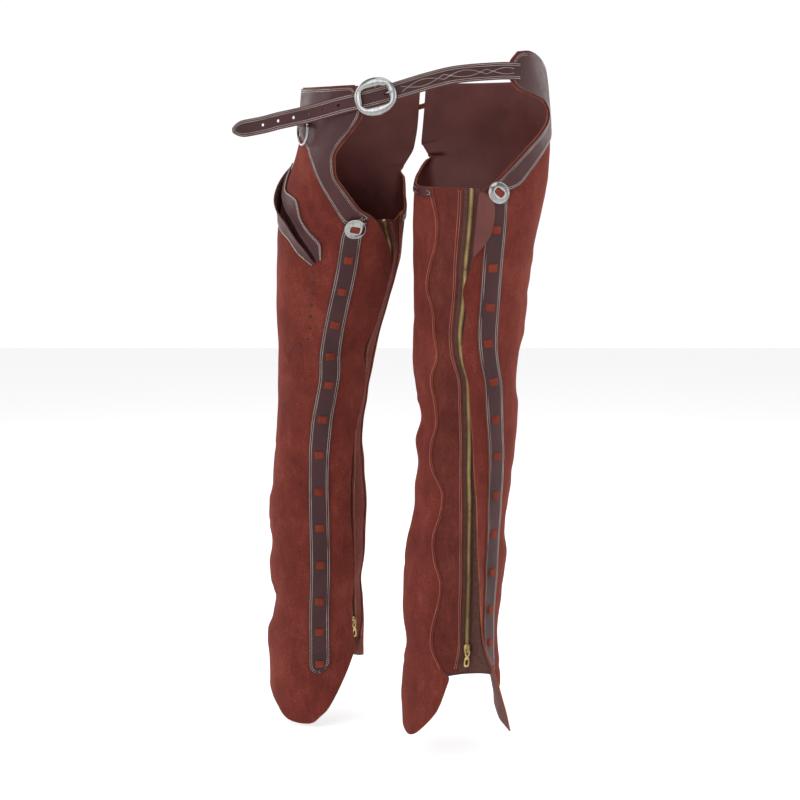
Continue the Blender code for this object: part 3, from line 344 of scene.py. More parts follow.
def leg_row(side, step):
    """Bearing and height of each column on a row of the leg; step 0 is the leg's upper edge."""
    def top(bearing):
        return curve(LEG_TOP[side], bearing)[0]

    foot = LEG_FOOT[side]
    share = (step - 1) / (LEG_ROWS - 1)

    def level(bearing):
        high = top(bearing)
        if step == 0:
            return high
        if step <= LEG_ROWS:
            return (high - TRIM_DROP) + (foot - high + TRIM_DROP) * share
        low = curve(HEM[side], bearing)[0]
        return foot + (low - foot) * sin((step - LEG_ROWS) / HEM_ROWS * pi / 2)

    def down(column, guess):
        z = level(guess)
        for _ in range(3):
            bearing = curve(DOWN[side], z)[column]
            z = level(bearing)
        return bearing, z

    places = {}
    flap, flap_z = down(0, -20 if side == "left" else 5)
    middle, middle_z = down(1, 0 if side == "left" else 30)
    half = degrees_of(side, STRIP_WIDTH / 2, middle_z)
    places[COL["flap"]] = (flap, flap_z)
    for name, bearing in (("strip_in", middle - half), ("strip", middle), ("strip_out", middle + half)):
        places[COL[name]] = (bearing, level(bearing))
    spread(places, COL["flap"], COL["strip_in"], 2)
    front = front_bearing(side, top(FRONT_BEARING[side]), 14) + 12 * min(step / 6, 1)
    trim = front - degrees_of(side, SCALLOP_LAP, level(front))
    first, last = COL["strip_out"], COL["front_in"]
    for number in range(first + 1, last + 1):
        bearing = middle + half + (trim - middle - half) * (number - first) / (last - first)
        places[number] = (bearing, level(bearing))
    places[COL["front"]] = (front, level(front))
    seam = down(2, 320)[0]
    teeth = down(3, 350 if side == "right" else 310)[0] % 360
    if teeth < 90:
        teeth += 360
    lap = seam - degrees_of(side, SCALLOP_LAP, foot)
    for number in range(COL["b1"], COL["lap"] + 1):
        bearing = front + (lap - front) * (number - COL["front"]) / (COL["lap"] - COL["front"])
        places[number] = (bearing, level(bearing))
    places[COL["scallop"]] = (seam, level(seam))
    zip_edge = teeth - degrees_of(side, TAPE_HALF * 0.66, foot)
    under = zip_edge - degrees_of(side, 7, foot)
    side_by = teeth + degrees_of(side, 7.5, foot)
    for name, bearing in (("mid", (seam + under) / 2), ("under", under), ("zip_edge", zip_edge),
                          ("teeth", teeth), ("tape_side", side_by)):
        places[COL[name]] = (bearing, min(level(320), level(bearing)) if step <= LEG_ROWS else foot)
    return places


def leg_lattice(side):
    """Points on a leg's suede with their bearing and height, row by column."""
    rows = [hip_row(side, row) for row in range(HIP_ROWS)]
    rows += [leg_row(side, step) for step in range(LEG_ROWS + HEM_ROWS + 1)]
    grid = np.full((ROWS + 1, len(COLUMNS), 5), np.nan)
    for number, row in enumerate(rows):
        for column, (bearing, z) in row.items():
            grid[number, column] = (*skin(side, bearing, z), bearing, z)
        if number >= HIP_ROWS:
            peel(side, grid[number])
    return grid


def peel(side, row):
    """Turn the flap and the strip outwards about the strip's outer line, keeping their width."""
    order = [COL[name] for name in ("strip_out", "strip", "strip_in", "margin", "flap")]
    steps = [row[b, :3] - row[a, :3] for a, b in zip(order, order[1:])]
    turns = curve(PEEL[side], row[COL["strip_out"], 2])
    here = row[order[0], :3]
    for column, step, turn in zip(order[1:], steps, turns):
        here = here + turned(step, -SIDES[side] * turn)
        row[column, :3] = here


def block(rows, columns):
    return [(r, c) for r in rows for c in columns]


def span(first, last):
    """Cells from one named column to another."""
    return range(COL[first], COL[last])


def outward(side, bearing, z):
    """Outward unit vector of a leg's skin."""
    ahead = skin(side, bearing + 2, z) - skin(side, bearing - 2, z)
    above = skin(side, bearing, z + 3) - skin(side, bearing, z - 3)
    out = SIDES[side] * np.cross(above, ahead)
    return out / np.linalg.norm(out)


# Fine creases over the folds: side, height, bearing, degrees to each end, fall per degree,
# depth, half width
CREASES = [
    ("left", -300, 20, 26, 0.5, -1.0, 7), ("left", -352, 330, 22, -0.4, -1.2, 6),
    ("left", -372, 60, 35, -0.5, -1.3, 9), ("left", -398, 50, 30, -0.7, 0.9, 8),
    ("left", -455, 40, 30, 0.4, -1.1, 7), ("left", -508, 300, 26, 0.3, -1.5, 8),
    ("left", -548, 90, 36, 0.2, -1.2, 8), ("left", -592, 60, 34, 0.4, -1.6, 9),
    ("left", -622, 75, 40, 0.2, 1.2, 9), ("left", -668, 95, 38, -0.1, -1.6, 9),
    ("left", -735, 90, 40, 0.2, 1.5, 10), ("left", -770, 70, 30, 0.4, -1.4, 8),
    ("left", -832, 60, 34, 0.3, -1.6, 8), ("left", -905, 30, 30, 0.2, 1.4, 10),
    ("left", -794, 92, 45, 0.2, -2.6, 15), ("left", -842, 92, 45, 0.1, 2.4, 16),
    ("left", -240, 110, 35, 0.4, -1.2, 10), ("left", -420, 200, 40, 0.3, -2.0, 10),
    ("left", -640, 200, 40, -0.3, -1.8, 10), ("left", -760, 190, 45, 0.2, -2.0, 12),
    ("right", -205, 300, 26, -0.5, -1.0, 7), ("right", -252, 290, 24, 0.4, -1.2, 7),
    ("right", -330, 280, 30, 0.3, -1.6, 8), ("right", -372, 285, 34, -0.2, -1.5, 8),
    ("right", -428, 290, 30, 0.3, -1.8, 8), ("right", -450, 275, 34, 0.0, 1.4, 7),
    ("right", -492, 300, 26, -0.3, -1.4, 6), ("right", -575, 290, 30, 0.4, -1.5, 8),
    ("right", -640, 285, 36, -0.2, -1.4, 8), ("right", -700, 280, 40, 0.2, -1.8, 10),
    ("right", -765, 285, 36, 0.1, 1.3, 9), ("right", -845, 280, 38, -0.2, -1.6, 8),
    ("right", -905, 285, 32, 0.2, 1.3, 8), ("right", -240, 80, 40, 0.5, 1.6, 12),
    ("right", -290, 85, 36, 0.7, -1.6, 10), ("right", -350, 90, 40, 0.5, 1.8, 12),
    ("right", -440, 85, 38, 0.3, -1.5, 9), ("right", -560, 90, 36, 0.2, -1.6, 9),
    ("right", -610, 85, 34, -0.2, 1.2, 9), ("right", -735, 90, 40, 0.3, -1.6, 9),
    ("right", -855, 85, 40, 0.2, -1.6, 9), ("right", -420, 190, 40, 0.3, -2.0, 10),
    ("right", -620, 185, 40, -0.3, -1.8, 10), ("right", -760, 190, 45, 0.2, -2.0, 12),
]
HIDE_WAVE = 0.5            # unevenness of the hide itself

# How far the left flap's soft edge reaches over the zip: height, width
OVER_ZIP = [(-1000, 0), (-835, 0), (-800, 2), (-765, 7), (-560, 8), (-420, 8), (-275, 9), (-225, 11),
            (-180, 9)]

# Suede folded back over the strip below the right concho: row of the lattice,
# width of its inner face that shows
TURNED_FLAP = [(11.15, 0), (11.4, 9), (11.9, 18), (12.6, 23), (13.3, 21), (13.9, 12), (14.5, 0)]

# Hand-laced stitches below the pocket: bearing, height, and turn from level
LACED = [(21, -264, 20), (20, -280, 15), (19, -297, 5), (19.5, -314, 0), (20, -332, -5), (20, -350, -5),
         (21, -367, -10), (29, -378, 60), (41, -381, 80), (54, -378, 85)]

SPACING = 4.6              # fine mesh, in millimetres
STITCH = 3.0               # from one stitch to the next
STITCH_SHARE = 0.74        # of that, the thread that shows
THREAD = 0.7               # its thickness
THREAD_LIFT = 0.1          # its middle over the hide
SHEET_BEVEL = 0.5          # rounding of a sheet's cut edges
SHARP = 55                 # degrees past which an edge is rounded
TEETH_PITCH = 2.6
PRONG_UP = 14.5            # where the prong comes up through the belt
WELT_LIFT = 0.35           # the pocket's welts over the suede


def weights(t):
    """Four weights of a smooth cubic at a fraction, and their slopes."""
    value = np.stack([-t ** 3 + 2 * t ** 2 - t, 3 * t ** 3 - 5 * t ** 2 + 2, -3 * t ** 3 + 4 * t ** 2 + t,
                      t ** 3 - t ** 2], -1) / 2
    slope = np.stack([-3 * t ** 2 + 4 * t - 1, 9 * t ** 2 - 10 * t, -9 * t ** 2 + 8 * t + 1,
                      3 * t ** 2 - 2 * t], -1) / 2
    return value, slope


def relief(side, bearing, z):
    """Height of the fine creases and the hide's waves, in millimetres."""
    turn = np.radians(bearing)
    total = HIDE_WAVE * (np.sin(z / 23 + 3 * np.sin(turn)) * np.sin(5 * turn + z / 61)
                         + 0.6 * np.sin(z / 9.1 + 4 * turn) * np.sin(9 * turn - z / 37))
    for name, height, middle, reach, fall, depth, width in CREASES:
        if name != side:
            continue
        away = (bearing - middle + 180) % 360 - 180
        ends = np.cos(np.clip(np.abs(away) / reach, 0, 1) * pi / 2) ** 1.5
        wander = 2.6 * np.sin(away / 8.0 + height)
        uneven = width * (1 + 0.35 * np.sin(away / 13.0 + height / 7))
        off = (z - height + fall * away + wander) / uneven
        total = total + depth * np.exp(-off * off) * ends
    return total


def unit(v):
    return v / np.maximum(np.linalg.norm(v, axis=-1, keepdims=True), 1e-9)


def carried_on(grid):
    """The lattice with its sheets carried on in a straight line past their edges."""
    known = ~np.isnan(grid[:, :, 0])
    made = grid.copy()
    for row, column in zip(*np.nonzero(~known)):
        for step in (1, -1):
            near, far = row + step, row + 2 * step
            if 0 <= far < len(grid) and known[near, column] and known[far, column]:
                made[row, column] = 2 * grid[near, column] - grid[far, column]
    for line in made:
        there = np.flatnonzero(~np.isnan(line[:, 0]))
        for column in range(there[0] - 1, -1, -1):
            line[column] = 2 * line[column + 1] - line[column + 2]
        for column in range(there[-1] + 1, len(line)):
            line[column] = 2 * line[column - 1] - line[column - 2]
    return made


class Surface:
    """Outer face of one leg's suede, at any row and column of the lattice."""

    def __init__(self, side):
        self.side = side
        grid = carried_on(leg_lattice(side))
        if side == "left":
            flap, margin = COL["flap"], COL["margin"]
            for row in range(HIP_ROWS, ROWS + 1):
                edge = grid[row, flap, :3]
                grid[row, flap, :3] += unit(edge - grid[row, margin, :3]) * curve(OVER_ZIP, edge[2])[0]
        self.grid = np.pad(grid, ((1, 1), (1, 1), (0, 0)), mode="reflect", reflect_type="odd")

    def at(self, rows, columns, off=0.0):
        """Points at a height over the suede, in millimetres, and their outward directions."""
        rows, columns = np.broadcast_arrays(np.asarray(rows, float), np.asarray(columns, float))
        r = np.clip(rows.astype(int), 0, ROWS - 1)
        c = np.clip(columns.astype(int), 0, len(COLUMNS) - 2)
        down, down_slope = weights(rows - r)
        side, side_slope = weights(columns - c)
        four = np.arange(4)
        taps = self.grid[r[..., None, None] + four[:, None], c[..., None, None] + four]
        place = np.einsum("...i,...j,...ijk->...k", down, side, taps)
        lower = np.einsum("...i,...j,...ijk->...k", down_slope, side, taps)[..., :3]
        along = np.einsum("...i,...j,...ijk->...k", down, side_slope, taps)[..., :3]
        out = unit(SIDES[self.side] * np.cross(along, lower))
        height = relief(self.side, place[..., 3], place[..., 4]) + off
        return place[..., :3] + out * height[..., None], out

    def row_of(self, column, z):
        """Row at which a column of the leg reaches a height."""
        heights = self.grid[1 + HIP_ROWS:-1, 1 + column, 2]
        return HIP_ROWS + float(np.interp(-z, -heights, np.arange(len(heights))))


def lines(lengths, spacing):
    """Places along a lattice direction, with its steps split into even short ones."""
    places, steps = [0.0], []
    for number, length in enumerate(lengths):
        count = max(1, int(round(length / spacing)))
        places += [number + (k + 1) / count for k in range(count)]
        steps += [number] * count
    return np.array(places), np.array(steps)


def fine_lattice(surface, spacing):
    """Fine rows and columns of a leg, with the lattice step that each lies in."""
    inner = surface.grid[1:-1, 1:-1, :3]
    row_lengths = np.median(np.linalg.norm(np.diff(inner[:, 3:18], axis=0), axis=2), axis=1)
    column_lengths = np.median(np.linalg.norm(np.diff(inner[12:30], axis=1), axis=2), axis=0)
    column_lengths[:COL["flap"]] = 14
    return lines(row_lengths, spacing), lines(column_lengths, spacing)


def is_cell(mask, r, c):
    """Whether a place on the lattice holds one of the chosen cells."""
    return bool(0 <= r < mask.shape[0] and 0 <= c < mask.shape[1] and mask[r, c])


def rim_walk(mask):
    """The rim of the chosen cells as closed loops of corners, with the cells on one side."""
    after = {}
    for r, c in zip(*np.nonzero(mask)):
        sides = [((r, c), (r + 1, c), (r, c - 1)), ((r + 1, c), (r + 1, c + 1), (r + 1, c)),
                 ((r + 1, c + 1), (r, c + 1), (r, c + 1)), ((r, c + 1), (r, c), (r - 1, c))]
        for a, b, beyond in sides:
            if not is_cell(mask, *beyond):
                after.setdefault(a, []).append(b)
    loops = []
    while after:
        start = next(iter(after))
        loop, here = [], start
        while here in after:
            loop.append(here)
            onward = after[here].pop()
            if not after[here]:
                del after[here]
            here = onward
        loops.append(loop)
    return loops


def inward_step(mask, corner):
    """Lattice steps that lead from a rim corner into the sheet."""
    r, c = corner
    above, above_left = is_cell(mask, r - 1, c), is_cell(mask, r - 1, c - 1)
    here, left = is_cell(mask, r, c), is_cell(mask, r, c - 1)
    ways = {(1, 0): left + here, (-1, 0): above_left + above,
            (0, 1): above + here, (0, -1): above_left + left}
    inner = [way for way, count in ways.items() if count == 2]
    return inner or [way for way, count in ways.items() if count == 1]


def object_from(name, vertices, faces, finishes, finish_of=None, bevel=0.0):
    """A mesh object from points in millimetres."""
    mesh = bpy.data.meshes.new(name)
    mesh.from_pydata((np.asarray(vertices) * MM).tolist(), [], [list(map(int, f)) for f in faces])
    for finish in finishes:
        mesh.materials.append(finish)
    if finish_of is not None:
        mesh.polygons.foreach_set("material_index", np.asarray(finish_of, dtype=np.int32))
    mesh.shade_smooth()
    if not bevel:
        mesh.set_sharp_from_angle(angle=radians(50))
    made = bpy.data.objects.new(name, mesh)
    bpy.context.scene.collection.objects.link(made)
    if bevel:
        rounded = made.modifiers.new("rounded", "BEVEL")
        rounded.width = bevel * MM
        rounded.segments = 2
        rounded.limit_method = "ANGLE"
        rounded.angle_limit = radians(SHARP)
    return made


def sheet_over(name, surface, cells, inner, outer, finishes, inset=0.0):
    """A sheet over some cells of the lattice. Returns the object and its outer rims.

    finishes are the outer face's, the inner face's and the cut edge's.
    """
    (rows, row_cell), (columns, column_cell) = fine_lattice(surface, SPACING)
    chosen = np.zeros((ROWS, len(COLUMNS) - 1), bool)
    for r, c in cells:
        chosen[r, c] = True
    mask = chosen[row_cell][:, column_cell]
    row_at = np.repeat(rows[:, None], len(columns), 1)
    column_at = np.repeat(columns[None, :], len(rows), 0)
    loops = rim_walk(mask)
    plain = surface.at(row_at, column_at)[0]
    if inset:
        moved = {}
        for loop in loops:
            for corner in loop:
                shift = np.zeros(2)
                for way in inward_step(mask, corner):
                    other = (corner[0] + way[0], corner[1] + way[1])
                    gap = np.linalg.norm(plain[other] - plain[corner])
                    share = min(inset / gap, 0.6)
                    shift += share * np.array([row_at[other] - row_at[corner],
                                               column_at[other] - column_at[corner]])
                moved[corner] = shift
        for corner, shift in moved.items():
            row_at[corner] += shift[0]
            column_at[corner] += shift[1]
    used = np.zeros((len(rows), len(columns)), bool)
    for a, b in ((0, 0), (1, 0), (0, 1), (1, 1)):
        used[a:a + mask.shape[0], b:b + mask.shape[1]] |= mask
    index = np.full(used.shape, -1)
    index[used] = np.arange(used.sum())
    top, out = surface.at(row_at[used], column_at[used], outer)
    under = surface.at(row_at[used], column_at[used], inner)[0]
    r, c = np.nonzero(mask)
    quads = np.stack([index[r, c], index[r + 1, c], index[r + 1, c + 1], index[r, c + 1]], 1)
    if surface.side == "right":
        quads = quads[:, ::-1]
    count = int(used.sum())
    faces = quads.tolist() + (quads[:, ::-1] + count).tolist()
    finish_of = [0] * len(quads) + [1] * len(quads)
    rims = []
    for loop in loops:
        ring = [index[corner] for corner in loop]
        for a, b in zip(ring, ring[1:] + ring[:1]):
            edge = (b, a, count + a, count + b)
            faces.append(edge if surface.side == "left" else edge[::-1])
            finish_of.append(2)
        rims.append((top[ring], out[ring]))
    return object_from(name, np.vstack([top, under]), faces, finishes, finish_of, SHEET_BEVEL), rims


def strip_grid(name, points, out, low, high, finishes, bevel=0.4):
    """A sheet over a grid of points, between two heights along their directions."""
    rows, columns = points.shape[:2]
    index = np.arange(rows * columns).reshape(rows, columns)
    top = (points + out * high).reshape(-1, 3)
    under = (points + out * low).reshape(-1, 3)
    count = rows * columns
    quads = np.stack([index[:-1, :-1], index[1:, :-1], index[1:, 1:], index[:-1, 1:]], -1).reshape(-1, 4)
    rim = np.concatenate([index[:, 0], index[-1, 1:], index[-2::-1, -1], index[0, -2:0:-1]])
    faces = quads.tolist() + (quads[:, ::-1] + count).tolist()
    finish_of = [0] * len(quads) + [1] * len(quads)
    for a, b in zip(rim, np.roll(rim, -1)):
        faces.append((b, a, count + a, count + b))
        finish_of.append(2)
    made = object_from(name, np.vstack([top, under]), faces, finishes, finish_of, bevel)
    outward_faces(made)
    return made, (top[rim], out.reshape(-1, 3)[rim])


def outward_faces(made):
    """Turn a closed mesh's faces outwards."""
    shaped = bmesh.new()
    shaped.from_mesh(made.data)
    bmesh.ops.recalc_face_normals(shaped, faces=shaped.faces)
    shaped.to_mesh(made.data)
    shaped.free()


def run_of(points):
    """Distance along a path to each of its points."""
    return np.concatenate([[0], np.cumsum(np.linalg.norm(np.diff(points, axis=0), axis=1))])


def rounded_run(start, end, tip, step, count):
    """Even places up to a rounded tip, then ones that crowd towards its end."""
    crowded = end - tip * (1 - np.sin(np.linspace(0, pi / 2, count)))
    return np.concatenate([np.arange(start, end - tip, step), crowded])


def oval(angle, half_x, half_y, power):
    """Distance from the middle of a rounded oblong to its edge, at an angle."""
    return (abs(cos(angle) / half_x) ** power + abs(sin(angle) / half_y) ** power) ** (-1 / power)


def resampled(points, out, pitch, closed):
    """Evenly spaced places on a path, with the way along it and its outward directions."""
    if closed:
        points, out = np.vstack([points, points[:1]]), np.vstack([out, out[:1]])
    run = run_of(points)
    count = max(2, int(run[-1] / pitch))
    at = (np.arange(count) + 0.5) * run[-1] / count

    def place(values, s):
        return np.stack([np.interp(s, run, values[:, k]) for k in range(3)], 1)

    along = unit(place(points, at + 0.4) - place(points, at - 0.4))
    return place(points, at), along, unit(place(out, at))


def set_in(rim, inset):
    """A rim moved into its sheet, without the points that its corners would tangle."""
    points, out = rim
    along = unit(np.roll(points, -1, 0) - np.roll(points, 1, 0))
    ways = [points + sign * inset * np.cross(out, along) for sign in (1, -1)]
    moved = min(ways, key=lambda way: run_of(way)[-1])
    gaps = np.linalg.norm(moved[:, None] - points[None], axis=2).min(1)
    keep = gaps > inset * 0.93
    moved, out = moved[keep], out[keep]
    smooth = moved.copy()
    for _ in range(2):
        smooth = (np.roll(smooth, 1, 0) + 2 * smooth + np.roll(smooth, -1, 0)) / 4
    return smooth, out


def stamped(name, places, template, faces, finish):
    """One mesh of many small shapes; each place has an origin and three directions."""
    origin, axes = places
    count, size = len(origin), len(template)
    points = origin[:, None] + np.einsum("vk,nkd->nvd", template, axes)
    every = [[v + size * k for v in face] for k in range(count) for face in faces]
    return object_from(name, points.reshape(-1, 3), every, [finish])


STITCH_RINGS = [(-0.5, 0.0), (-0.34, 0.8), (0.0, 1.0), (0.34, 0.8), (0.5, 0.0)]


def stitch_shape():
    """A thread that comes up, lies along the seam and goes down again."""
    points, faces = [], []
    for along, size in STITCH_RINGS:
        if size == 0:
            points.append((along, 0, -0.5))
            continue
        for k in range(6):
            turn = 2 * pi * k / 6
            points.append((along, 0.5 * size * cos(turn), 0.42 * size * sin(turn) - (1 - size) * 0.5))
    rings = len(STITCH_RINGS) - 2
    for k in range(6):
        after = (k + 1) % 6
        faces.append((0, 1 + after, 1 + k))
        for ring in range(rings - 1):
            a, b = 1 + 6 * ring, 7 + 6 * ring
            faces.append((a + k, a + after, b + after, b + k))
        last = 1 + 6 * (rings - 1)
        faces.append((len(points) - 1, last + k, last + after))
    return np.array(points), faces


def sewn(name, paths, finish, pitch=STITCH, thread=THREAD):
    """Stitches along some paths; a path is its points, outward directions and whether it closes."""
    shape, faces = stitch_shape()
    origins, axes = [], []
    for points, out, closed in paths:
        at, along, up = resampled(points, out, pitch, closed)
        origins.append(at + up * THREAD_LIFT)
        axes.append(np.stack([along * (pitch * STITCH_SHARE), np.cross(up, along) * thread, up * thread], 1))
    return stamped(name, (np.vstack(origins), np.vstack(axes)), shape, faces, finish)


class Socket:
    """A shader socket that takes part in sums."""

    def __init__(self, finish, output):
        self.finish, self.output = finish, output

    def __add__(self, other):
        return self.finish.sum("ADD", self, other)

    def __mul__(self, other):
        return self.finish.sum("MULTIPLY", self, other)

    def __sub__(self, other):
        return self.finish.sum("SUBTRACT", self, other)

    def __rsub__(self, other):
        return self.finish.sum("SUBTRACT", other, self)

    __radd__ = __add__
    __rmul__ = __mul__


class Finish:
    """A material and the nodes that give its finish."""

    def __init__(self, name):
        self.material = bpy.data.materials.new(name)
        self.material.use_nodes = True
        self.tree = self.material.node_tree
        self.shader = self.tree.nodes["Principled BSDF"]
        self.place = self.node("TexCoord", output="Object")

    def node(self, kind, settings=None, inputs=None, output=0):
        made = self.tree.nodes.new("ShaderNode" + kind)
        for key, value in (settings or {}).items():
            if key == "stops":
                ramp = made.color_ramp
                while len(ramp.elements) < len(value):
                    ramp.elements.new(0.5)
                for element, (position, colour) in zip(ramp.elements, value):
                    element.position, element.color = position, (*colour, 1.0)
            else:
                setattr(made, key, value)
        for key, value in (inputs or {}).items():
            if isinstance(value, Socket):
                self.tree.links.new(value.output, made.inputs[key])
            else:
                made.inputs[key].default_value = value
        return Socket(self, made.outputs[output])

    def sum(self, operation, a, b):
        return self.node("Math", {"operation": operation}, {0: a, 1: b})

    def noise(self, scale, detail=2.0, rough=0.5, stretch=(1, 1, 1), warp=0.0):
        place = self.node("Mapping", None, {"Vector": self.place, "Scale": stretch})
        return self.node("TexNoise", None, {"Vector": place, "Scale": scale, "Detail": detail,
                                            "Roughness": rough, "Distortion": warp})

    def cells(self, scale, stretch=(1, 1, 1)):
        place = self.node("Mapping", None, {"Vector": self.place, "Scale": stretch})
        return self.node("TexVoronoi", {"feature": "DISTANCE_TO_EDGE"}, {"Vector": place, "Scale": scale})

    def ramp(self, factor, stops):
        return self.node("ValToRGB", {"stops": stops}, {0: factor})

    def grey(self, factor, low, high, first, last):
        """A value that runs from first to last while factor runs from low to high."""
        return self.node("MapRange", {"clamp": True}, {0: factor, 1: low, 2: high, 3: first, 4: last})

    def mix(self, factor, a, b):
        return self.node("Mix", {"data_type": "RGBA"}, {0: factor, 6: a, 7: b}, output=2)

    def wear(self, **values):
        """Set the shader's sockets to values or links."""
        for name, value in values.items():
            socket = self.shader.inputs[name.replace("_", " ")]
            if isinstance(value, Socket):
                self.tree.links.new(value.output, socket)
            else:
                socket.default_value = value
        return self

    def bump(self, height, strength, depth):
        normal = self.node("Bump", None, {"Height": height, "Strength": strength, "Distance": depth})
        self.tree.links.new(normal.output, self.shader.inputs["Normal"])
        return self


def suede_finish(name, dark, middle, light, pebble=0.35, fuzz=0.16):
    """Brushed split hide: broad tone, nap streaks, crumbly grain."""
    f = Finish(name)
    broad = f.noise(11, 3, 0.55, warp=0.6)
    patches = f.noise(38, 4, 0.6, stretch=(1, 1, 0.6), warp=0.8)
    streaks = f.noise(95, 4, 0.65, stretch=(1, 1, 0.3), warp=1.2)
    crumb = f.noise(460, 3, 0.7)
    speck = f.noise(1300, 2, 0.6)
    tone = broad * 0.34 + patches * 0.26 + streaks * 0.18 + crumb * 0.22
    body = f.ramp(tone, [(0.34, dark), (0.5, middle), (0.66, light)])
    shade = f.grey(crumb * 0.55 + speck * 0.45, 0.34, 0.62, 0.62, 1.0)
    shadow = tuple(0.45 * c for c in dark) + (1.0,)
    f.wear(Base_Color=f.mix(shade, shadow, body), Roughness=0.95, Specular_IOR_Level=0.12,
           Sheen_Weight=fuzz, Sheen_Roughness=0.45, Sheen_Tint=(*(min(1.0, 3.2 * c) for c in light), 1.0))
    f.bump(crumb * 0.55 + speck * 0.25 + patches * pebble, 0.75, 0.0011)
    return f.material


def leather_finish(name, dark, light, grain=900, gloss=0.42, depth=0.00035):
    """Smooth hide with fine pores, a little mottled, with a waxed sheen and painted shade in its grain's
    creases.
    """
    f = Finish(name)
    broad = f.noise(16, 3, 0.5, warp=0.5)
    cloud = f.noise(90, 3, 0.6)
    pores = f.cells(grain)
    fine = f.noise(grain * 1.8, 2, 0.6)
    tone = broad * 0.5 + cloud * 0.3 + fine * 0.2
    body = f.ramp(tone, [(0.36, dark), (0.62, light)])
    # painted shade: the grain's creases, where the bump sinks, are darkened towards a dim copy of the dark
    # tone
    crease_shade = f.grey(pores, 0.0, 0.12, 0.72, 1.0)
    f.wear(Base_Color=f.mix(crease_shade, tuple(0.4 * c for c in dark) + (1.0,), body),
           Roughness=f.grey(cloud, 0.3, 0.7, gloss - 0.07, gloss + 0.1), Specular_IOR_Level=0.3,
           Coat_Weight=0.05, Coat_Roughness=0.35)
    f.bump(f.grey(pores, 0.0, 0.25, 0.0, 1.0) * 0.7 + fine * 0.3, 0.45, depth)
    return f.material


def edge_finish(name, dark, light):
    """Cut edge of a hide: loose fibres, lighter than its face."""
    f = Finish(name)
    fibres = f.noise(700, 3, 0.7, stretch=(1, 1, 0.4))
    broad = f.noise(60, 2, 0.5)
    f.wear(Base_Color=f.ramp(fibres * 0.6 + broad * 0.4, [(0.38, dark), (0.62, light)]), Roughness=0.9,
           Specular_IOR_Level=0.15)
    f.bump(fibres, 0.6, 0.0006)
    return f.material


def thread_finish(name, dark, light):
    """Waxed thread with its twist."""
    f = Finish(name)
    twist = f.noise(1800, 2, 0.5)
    drift = f.noise(45, 2, 0.5)
    f.wear(Base_Color=f.ramp(twist * 0.5 + drift * 0.5, [(0.35, dark), (0.6, light)]), Roughness=0.6,
           Specular_IOR_Level=0.35)
    f.bump(twist, 0.3, 0.0002)
    return f.material


def tape_finish():
    """Herringbone zip tape, brown with a worn grey-brown nap."""
    f = Finish("zip_tape_weave")
    rib = f.node("TexWave", {"bands_direction": "X", "wave_profile": "SIN"},
                 {"Vector": f.place, "Scale": 260, "Distortion": 0.6, "Detail": 1.0, "Detail Scale": 8.0})
    pick = f.node("TexWave", {"bands_direction": "Z", "wave_profile": "SIN"},
                  {"Vector": f.place, "Scale": 300, "Distortion": 0.8, "Detail": 1.0, "Detail Scale": 8.0})
    lint = f.noise(240, 3, 0.6)
    weave = rib * 0.5 + pick * 0.5
    brown = f.ramp(weave * 0.5 + lint * 0.5, [(0.3, (0.036, 0.015, 0.012)), (0.7, (0.135, 0.060, 0.048))])
    f.wear(Base_Color=brown, Roughness=0.85, Specular_IOR_Level=0.15)
    f.bump(weave, 0.5, 0.0003)
    return f.material


def metal_finish(name, dark, light, rough, scratch=0.35, tarnish=0.5):
    """Plated metal with fine scratches, dulled in patches at random."""
    f = Finish(name)
    haze = f.noise(60, 3, 0.6)
    brushed = f.noise(420, 3, 0.7, stretch=(1, 1, 0.12))
    grit = f.noise(1500, 2, 0.5)
    f.wear(Base_Color=f.ramp(haze * tarnish + brushed * (1 - tarnish), [(0.32, dark), (0.6, light)]),
           Metallic=1.0, Roughness=f.grey(haze * 0.5 + brushed * 0.5, 0.3, 0.7, rough * 0.7, rough * 1.5))
    f.bump(brushed * 0.6 + grit * 0.4, scratch, 0.00008)
    return f.material


SUEDE_FACE = suede_finish("suede_nap", (0.081, 0.015, 0.012), (0.144, 0.027, 0.019), (0.223, 0.051, 0.036))
SUEDE_ROUGH = suede_finish("suede_rough_split", (0.065, 0.013, 0.012), (0.118, 0.025, 0.018),
                           (0.186, 0.050, 0.036), pebble=0.8)
SUEDE_BACK = leather_finish("suede_grain_side", (0.084, 0.019, 0.018), (0.134, 0.035, 0.029), 600, 0.6,
                            0.0002)
SUEDE_EDGE = edge_finish("suede_cut_edge", (0.139, 0.033, 0.017), (0.288, 0.090, 0.048))
YOKE_HIDE = leather_finish("burgundy_leather", (0.037, 0.007, 0.008), (0.068, 0.014, 0.016), 850, 0.5)
STRAP_HIDE = leather_finish("burgundy_strap", (0.030, 0.006, 0.007), (0.056, 0.012, 0.014), 1100, 0.52,
                            0.0005)
HIDE_BACK = edge_finish("leather_flesh_side", (0.110, 0.045, 0.035), (0.190, 0.085, 0.065))
HIDE_EDGE = edge_finish("leather_cut_edge", (0.060, 0.018, 0.016), (0.125, 0.042, 0.036))
STRAP_EDGE = edge_finish("strap_cut_edge", (0.120, 0.036, 0.022), (0.260, 0.085, 0.050))
LACE_FACE = suede_finish("lace_nap", (0.120, 0.018, 0.011), (0.192, 0.034, 0.019),
                         (0.259, 0.055, 0.031), pebble=0.2)
LACED_DARK = leather_finish("dark_lace", (0.030, 0.010, 0.011), (0.065, 0.022, 0.024), 1400, 0.5)
# near-black colour of the sheet in the pocket's slit: painted shade for the pocket's inside
POCKET_PAINTED_SHADE = edge_finish("pocket_painted_shade", (0.018, 0.008, 0.008), (0.040, 0.016, 0.015))
IVORY = thread_finish("ivory_thread", (0.432, 0.348, 0.300), (0.840, 0.744, 0.672))
ROSE = thread_finish("rose_thread", (0.330, 0.120, 0.095), (0.560, 0.260, 0.210))
TAPE = tape_finish()
BRASS = metal_finish("worn_brass", (0.238, 0.144, 0.050), (0.562, 0.418, 0.187), 0.32)
SILVER = metal_finish("silver_plate", (0.212, 0.212, 0.213), (0.394, 0.392, 0.390), 0.17, 0.2)
